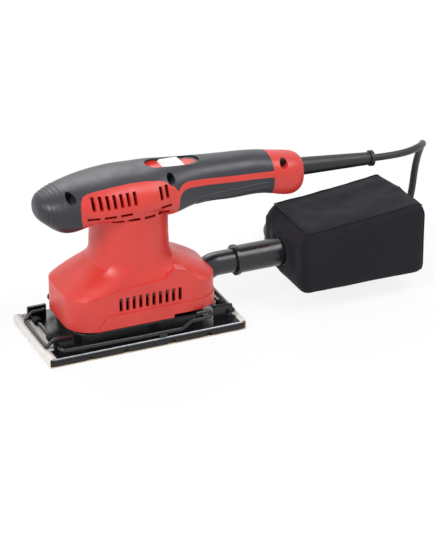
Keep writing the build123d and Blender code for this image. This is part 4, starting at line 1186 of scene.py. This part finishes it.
def gritted(name, main, deep, grain_mm):
    """Coated abrasive: a pale stearate film over grains, drawn as coarse as 80 grit looks."""
    material, tree, shader, place = start_material(name)
    grain = add(tree, "ShaderNodeTexVoronoi", {"Vector": place, "Scale": 1000 / grain_mm})
    cloud = add(tree, "ShaderNodeTexNoise", {"Vector": place, "Scale": 1000 / paper_patch_mm, "Detail": 4.0})
    shade = add(tree, "ShaderNodeMath", {0: grain.outputs["Distance"], 1: cloud.outputs["Fac"]},
                operation="MULTIPLY")
    colour = add(tree, "ShaderNodeMix", {0: shade.outputs[0], 6: linear(main), 7: linear(deep)},
                 data_type="RGBA")
    tree.links.new(colour.outputs[2], shader.inputs["Base Color"])
    bump = add(tree, "ShaderNodeBump", {"Height": grain.outputs["Distance"], "Strength": 0.5,
                                        "Distance": grit_height_mm * MM})
    tree.links.new(bump.outputs[0], shader.inputs["Normal"])
    shader.inputs["Roughness"].default_value = 0.85
    return material


# Coated grit: a chalky white with grey between its grains.
grit_white = gritted("alumina_grit_stearate", "#EFEDEA", "#B9B2AA", 0.8)
# Pressed paper: tan and fibrous.
paper_tan = gritted("kraft_paper_pressed", "#DCC5A0", "#BFA57E", 1.6)
# Cut paper: paler, as the cut opens its fibres.
paper_edge = gritted("kraft_paper_cut", "#E2D8C8", "#CFC2AC", 1.6)

form = bmesh.new()
rows = []
for x, z in line:
    row = []
    for step in range(across_cells + 1):
        y = sheet_half_width * (2 * step / across_cells - 1)
        row.append(form.verts.new((x * MM, y * MM, z * MM)))
    rows.append(row)
for first, second in zip(rows, rows[1:]):
    for step in range(across_cells):
        middle = (first[step].co + second[step + 1].co) / 2 / MM
        on_flap = middle.z > flap_height and abs(middle.x) < flap_lip
        if on_flap and abs(middle.y) > flap_half_width:
            continue
        face = form.faces.new((first[step], first[step + 1], second[step + 1], second[step]))
        face.smooth = True
bmesh.ops.delete(form, geom=[v for v in form.verts if not v.link_faces], context="VERTS")
bmesh.ops.recalc_face_normals(form, faces=form.faces)
low_face = min(form.faces, key=lambda face: face.calc_center_median().z)
if low_face.normal.z > 0:
    bmesh.ops.reverse_faces(form, faces=form.faces)
sheet_mesh = bpy.data.meshes.new("abrasive_paper_wrap")
form.to_mesh(sheet_mesh)
form.free()
for finish in (grit_white, paper_tan, paper_edge):
    sheet_mesh.materials.append(finish)
paper = bpy.data.objects.new("abrasive_paper_wrap", sheet_mesh)
bpy.context.scene.collection.objects.link(paper)
wall = paper.modifiers.new("paper_thickness", "SOLIDIFY")
wall.thickness = sheet_thickness * MM
wall.offset = 0.0
wall.material_offset = 1
wall.material_offset_rim = 2
finish_piece(paper, "base", "abrasive_paper", "abrasive_sheet")
print("paper faces", len(sheet_mesh.polygons))

# %% [markdown]
# ## Cord tie
# The put-away coil is held by a strap of hook-and-loop tape, a flat band that goes once round the bundle. A
# torus would be too thick and round for tape. So a rounded rectangle that just clears the turns is drawn
# out to the tape's width, and Solidify makes it as thin as tape.

# %% Cord tie
tie_width = 10.0
tie_cells = 4
tie_thickness = 0.3
tie_round = 3.5
tie_steps = 6
tie_play = 0.5
tie_clear = 0.4
tie_inner = coil_outer - coil_pitch * coil_turns_each - cord_diameter / 2 - tie_play
tie_outer = coil_outer + cord_diameter / 2 + tie_play
tie_top = coil_floor + cord_diameter + coil_rise + tie_clear
tie_bottom = 0.05
tie_corners = (
    (tie_outer - tie_round, tie_bottom + tie_round, -90),
    (tie_outer - tie_round, tie_top - tie_round, 0),
    (tie_inner + tie_round, tie_top - tie_round, 90),
    (tie_inner + tie_round, tie_bottom + tie_round, 180),
)
form = bmesh.new()
rows = []
for reach, height, start in tie_corners:
    for step in range(tie_steps + 1):
        angle = math.radians(start + 90 * step / tie_steps)
        x = coil_center[0] * MM + (reach + tie_round * math.cos(angle)) * MM
        z = (height + tie_round * math.sin(angle)) * MM
        row = []
        for cell in range(tie_cells + 1):
            y = coil_center[1] + tie_width * (cell / tie_cells - 0.5)
            row.append(form.verts.new((x, y * MM, z)))
        rows.append(row)
for index, row in enumerate(rows):
    after = rows[(index + 1) % len(rows)]
    for step in range(tie_cells):
        form.faces.new((row[step], row[step + 1], after[step + 1], after[step])).smooth = True
bmesh.ops.recalc_face_normals(form, faces=form.faces)
tie_mesh = bpy.data.meshes.new("cord_tie")
form.to_mesh(tie_mesh)
form.free()
# Woven nylon tape: a flat black, with a finer weave than the bag's.
tie_mesh.materials.append(woven("black_nylon_hook_loop", "#1B1B1D", "#131314", 1.0))
tie = bpy.data.objects.new("cord_tie", tie_mesh)
bpy.context.scene.collection.objects.link(tie)
wall = tie.modifiers.new("tape_thickness", "SOLIDIFY")
wall.thickness = tie_thickness * MM
wall.offset = -1.0
finish_piece(tie, "housing", "cord_rubber")
print("tie from", round(tie_inner, 1), "to", round(tie_outer, 1), "mm from the coil's middle")

# %% [markdown]
# The cord gets its finish last. It rides on the housing and stands for the lead and the coil solids.

cord_curve.materials.append(cord_pvc)
finish_piece(cord, "housing", "cord_rubber", "cord_lead", "cord_coil")
print("cord", cord.name, "with", tie.name)
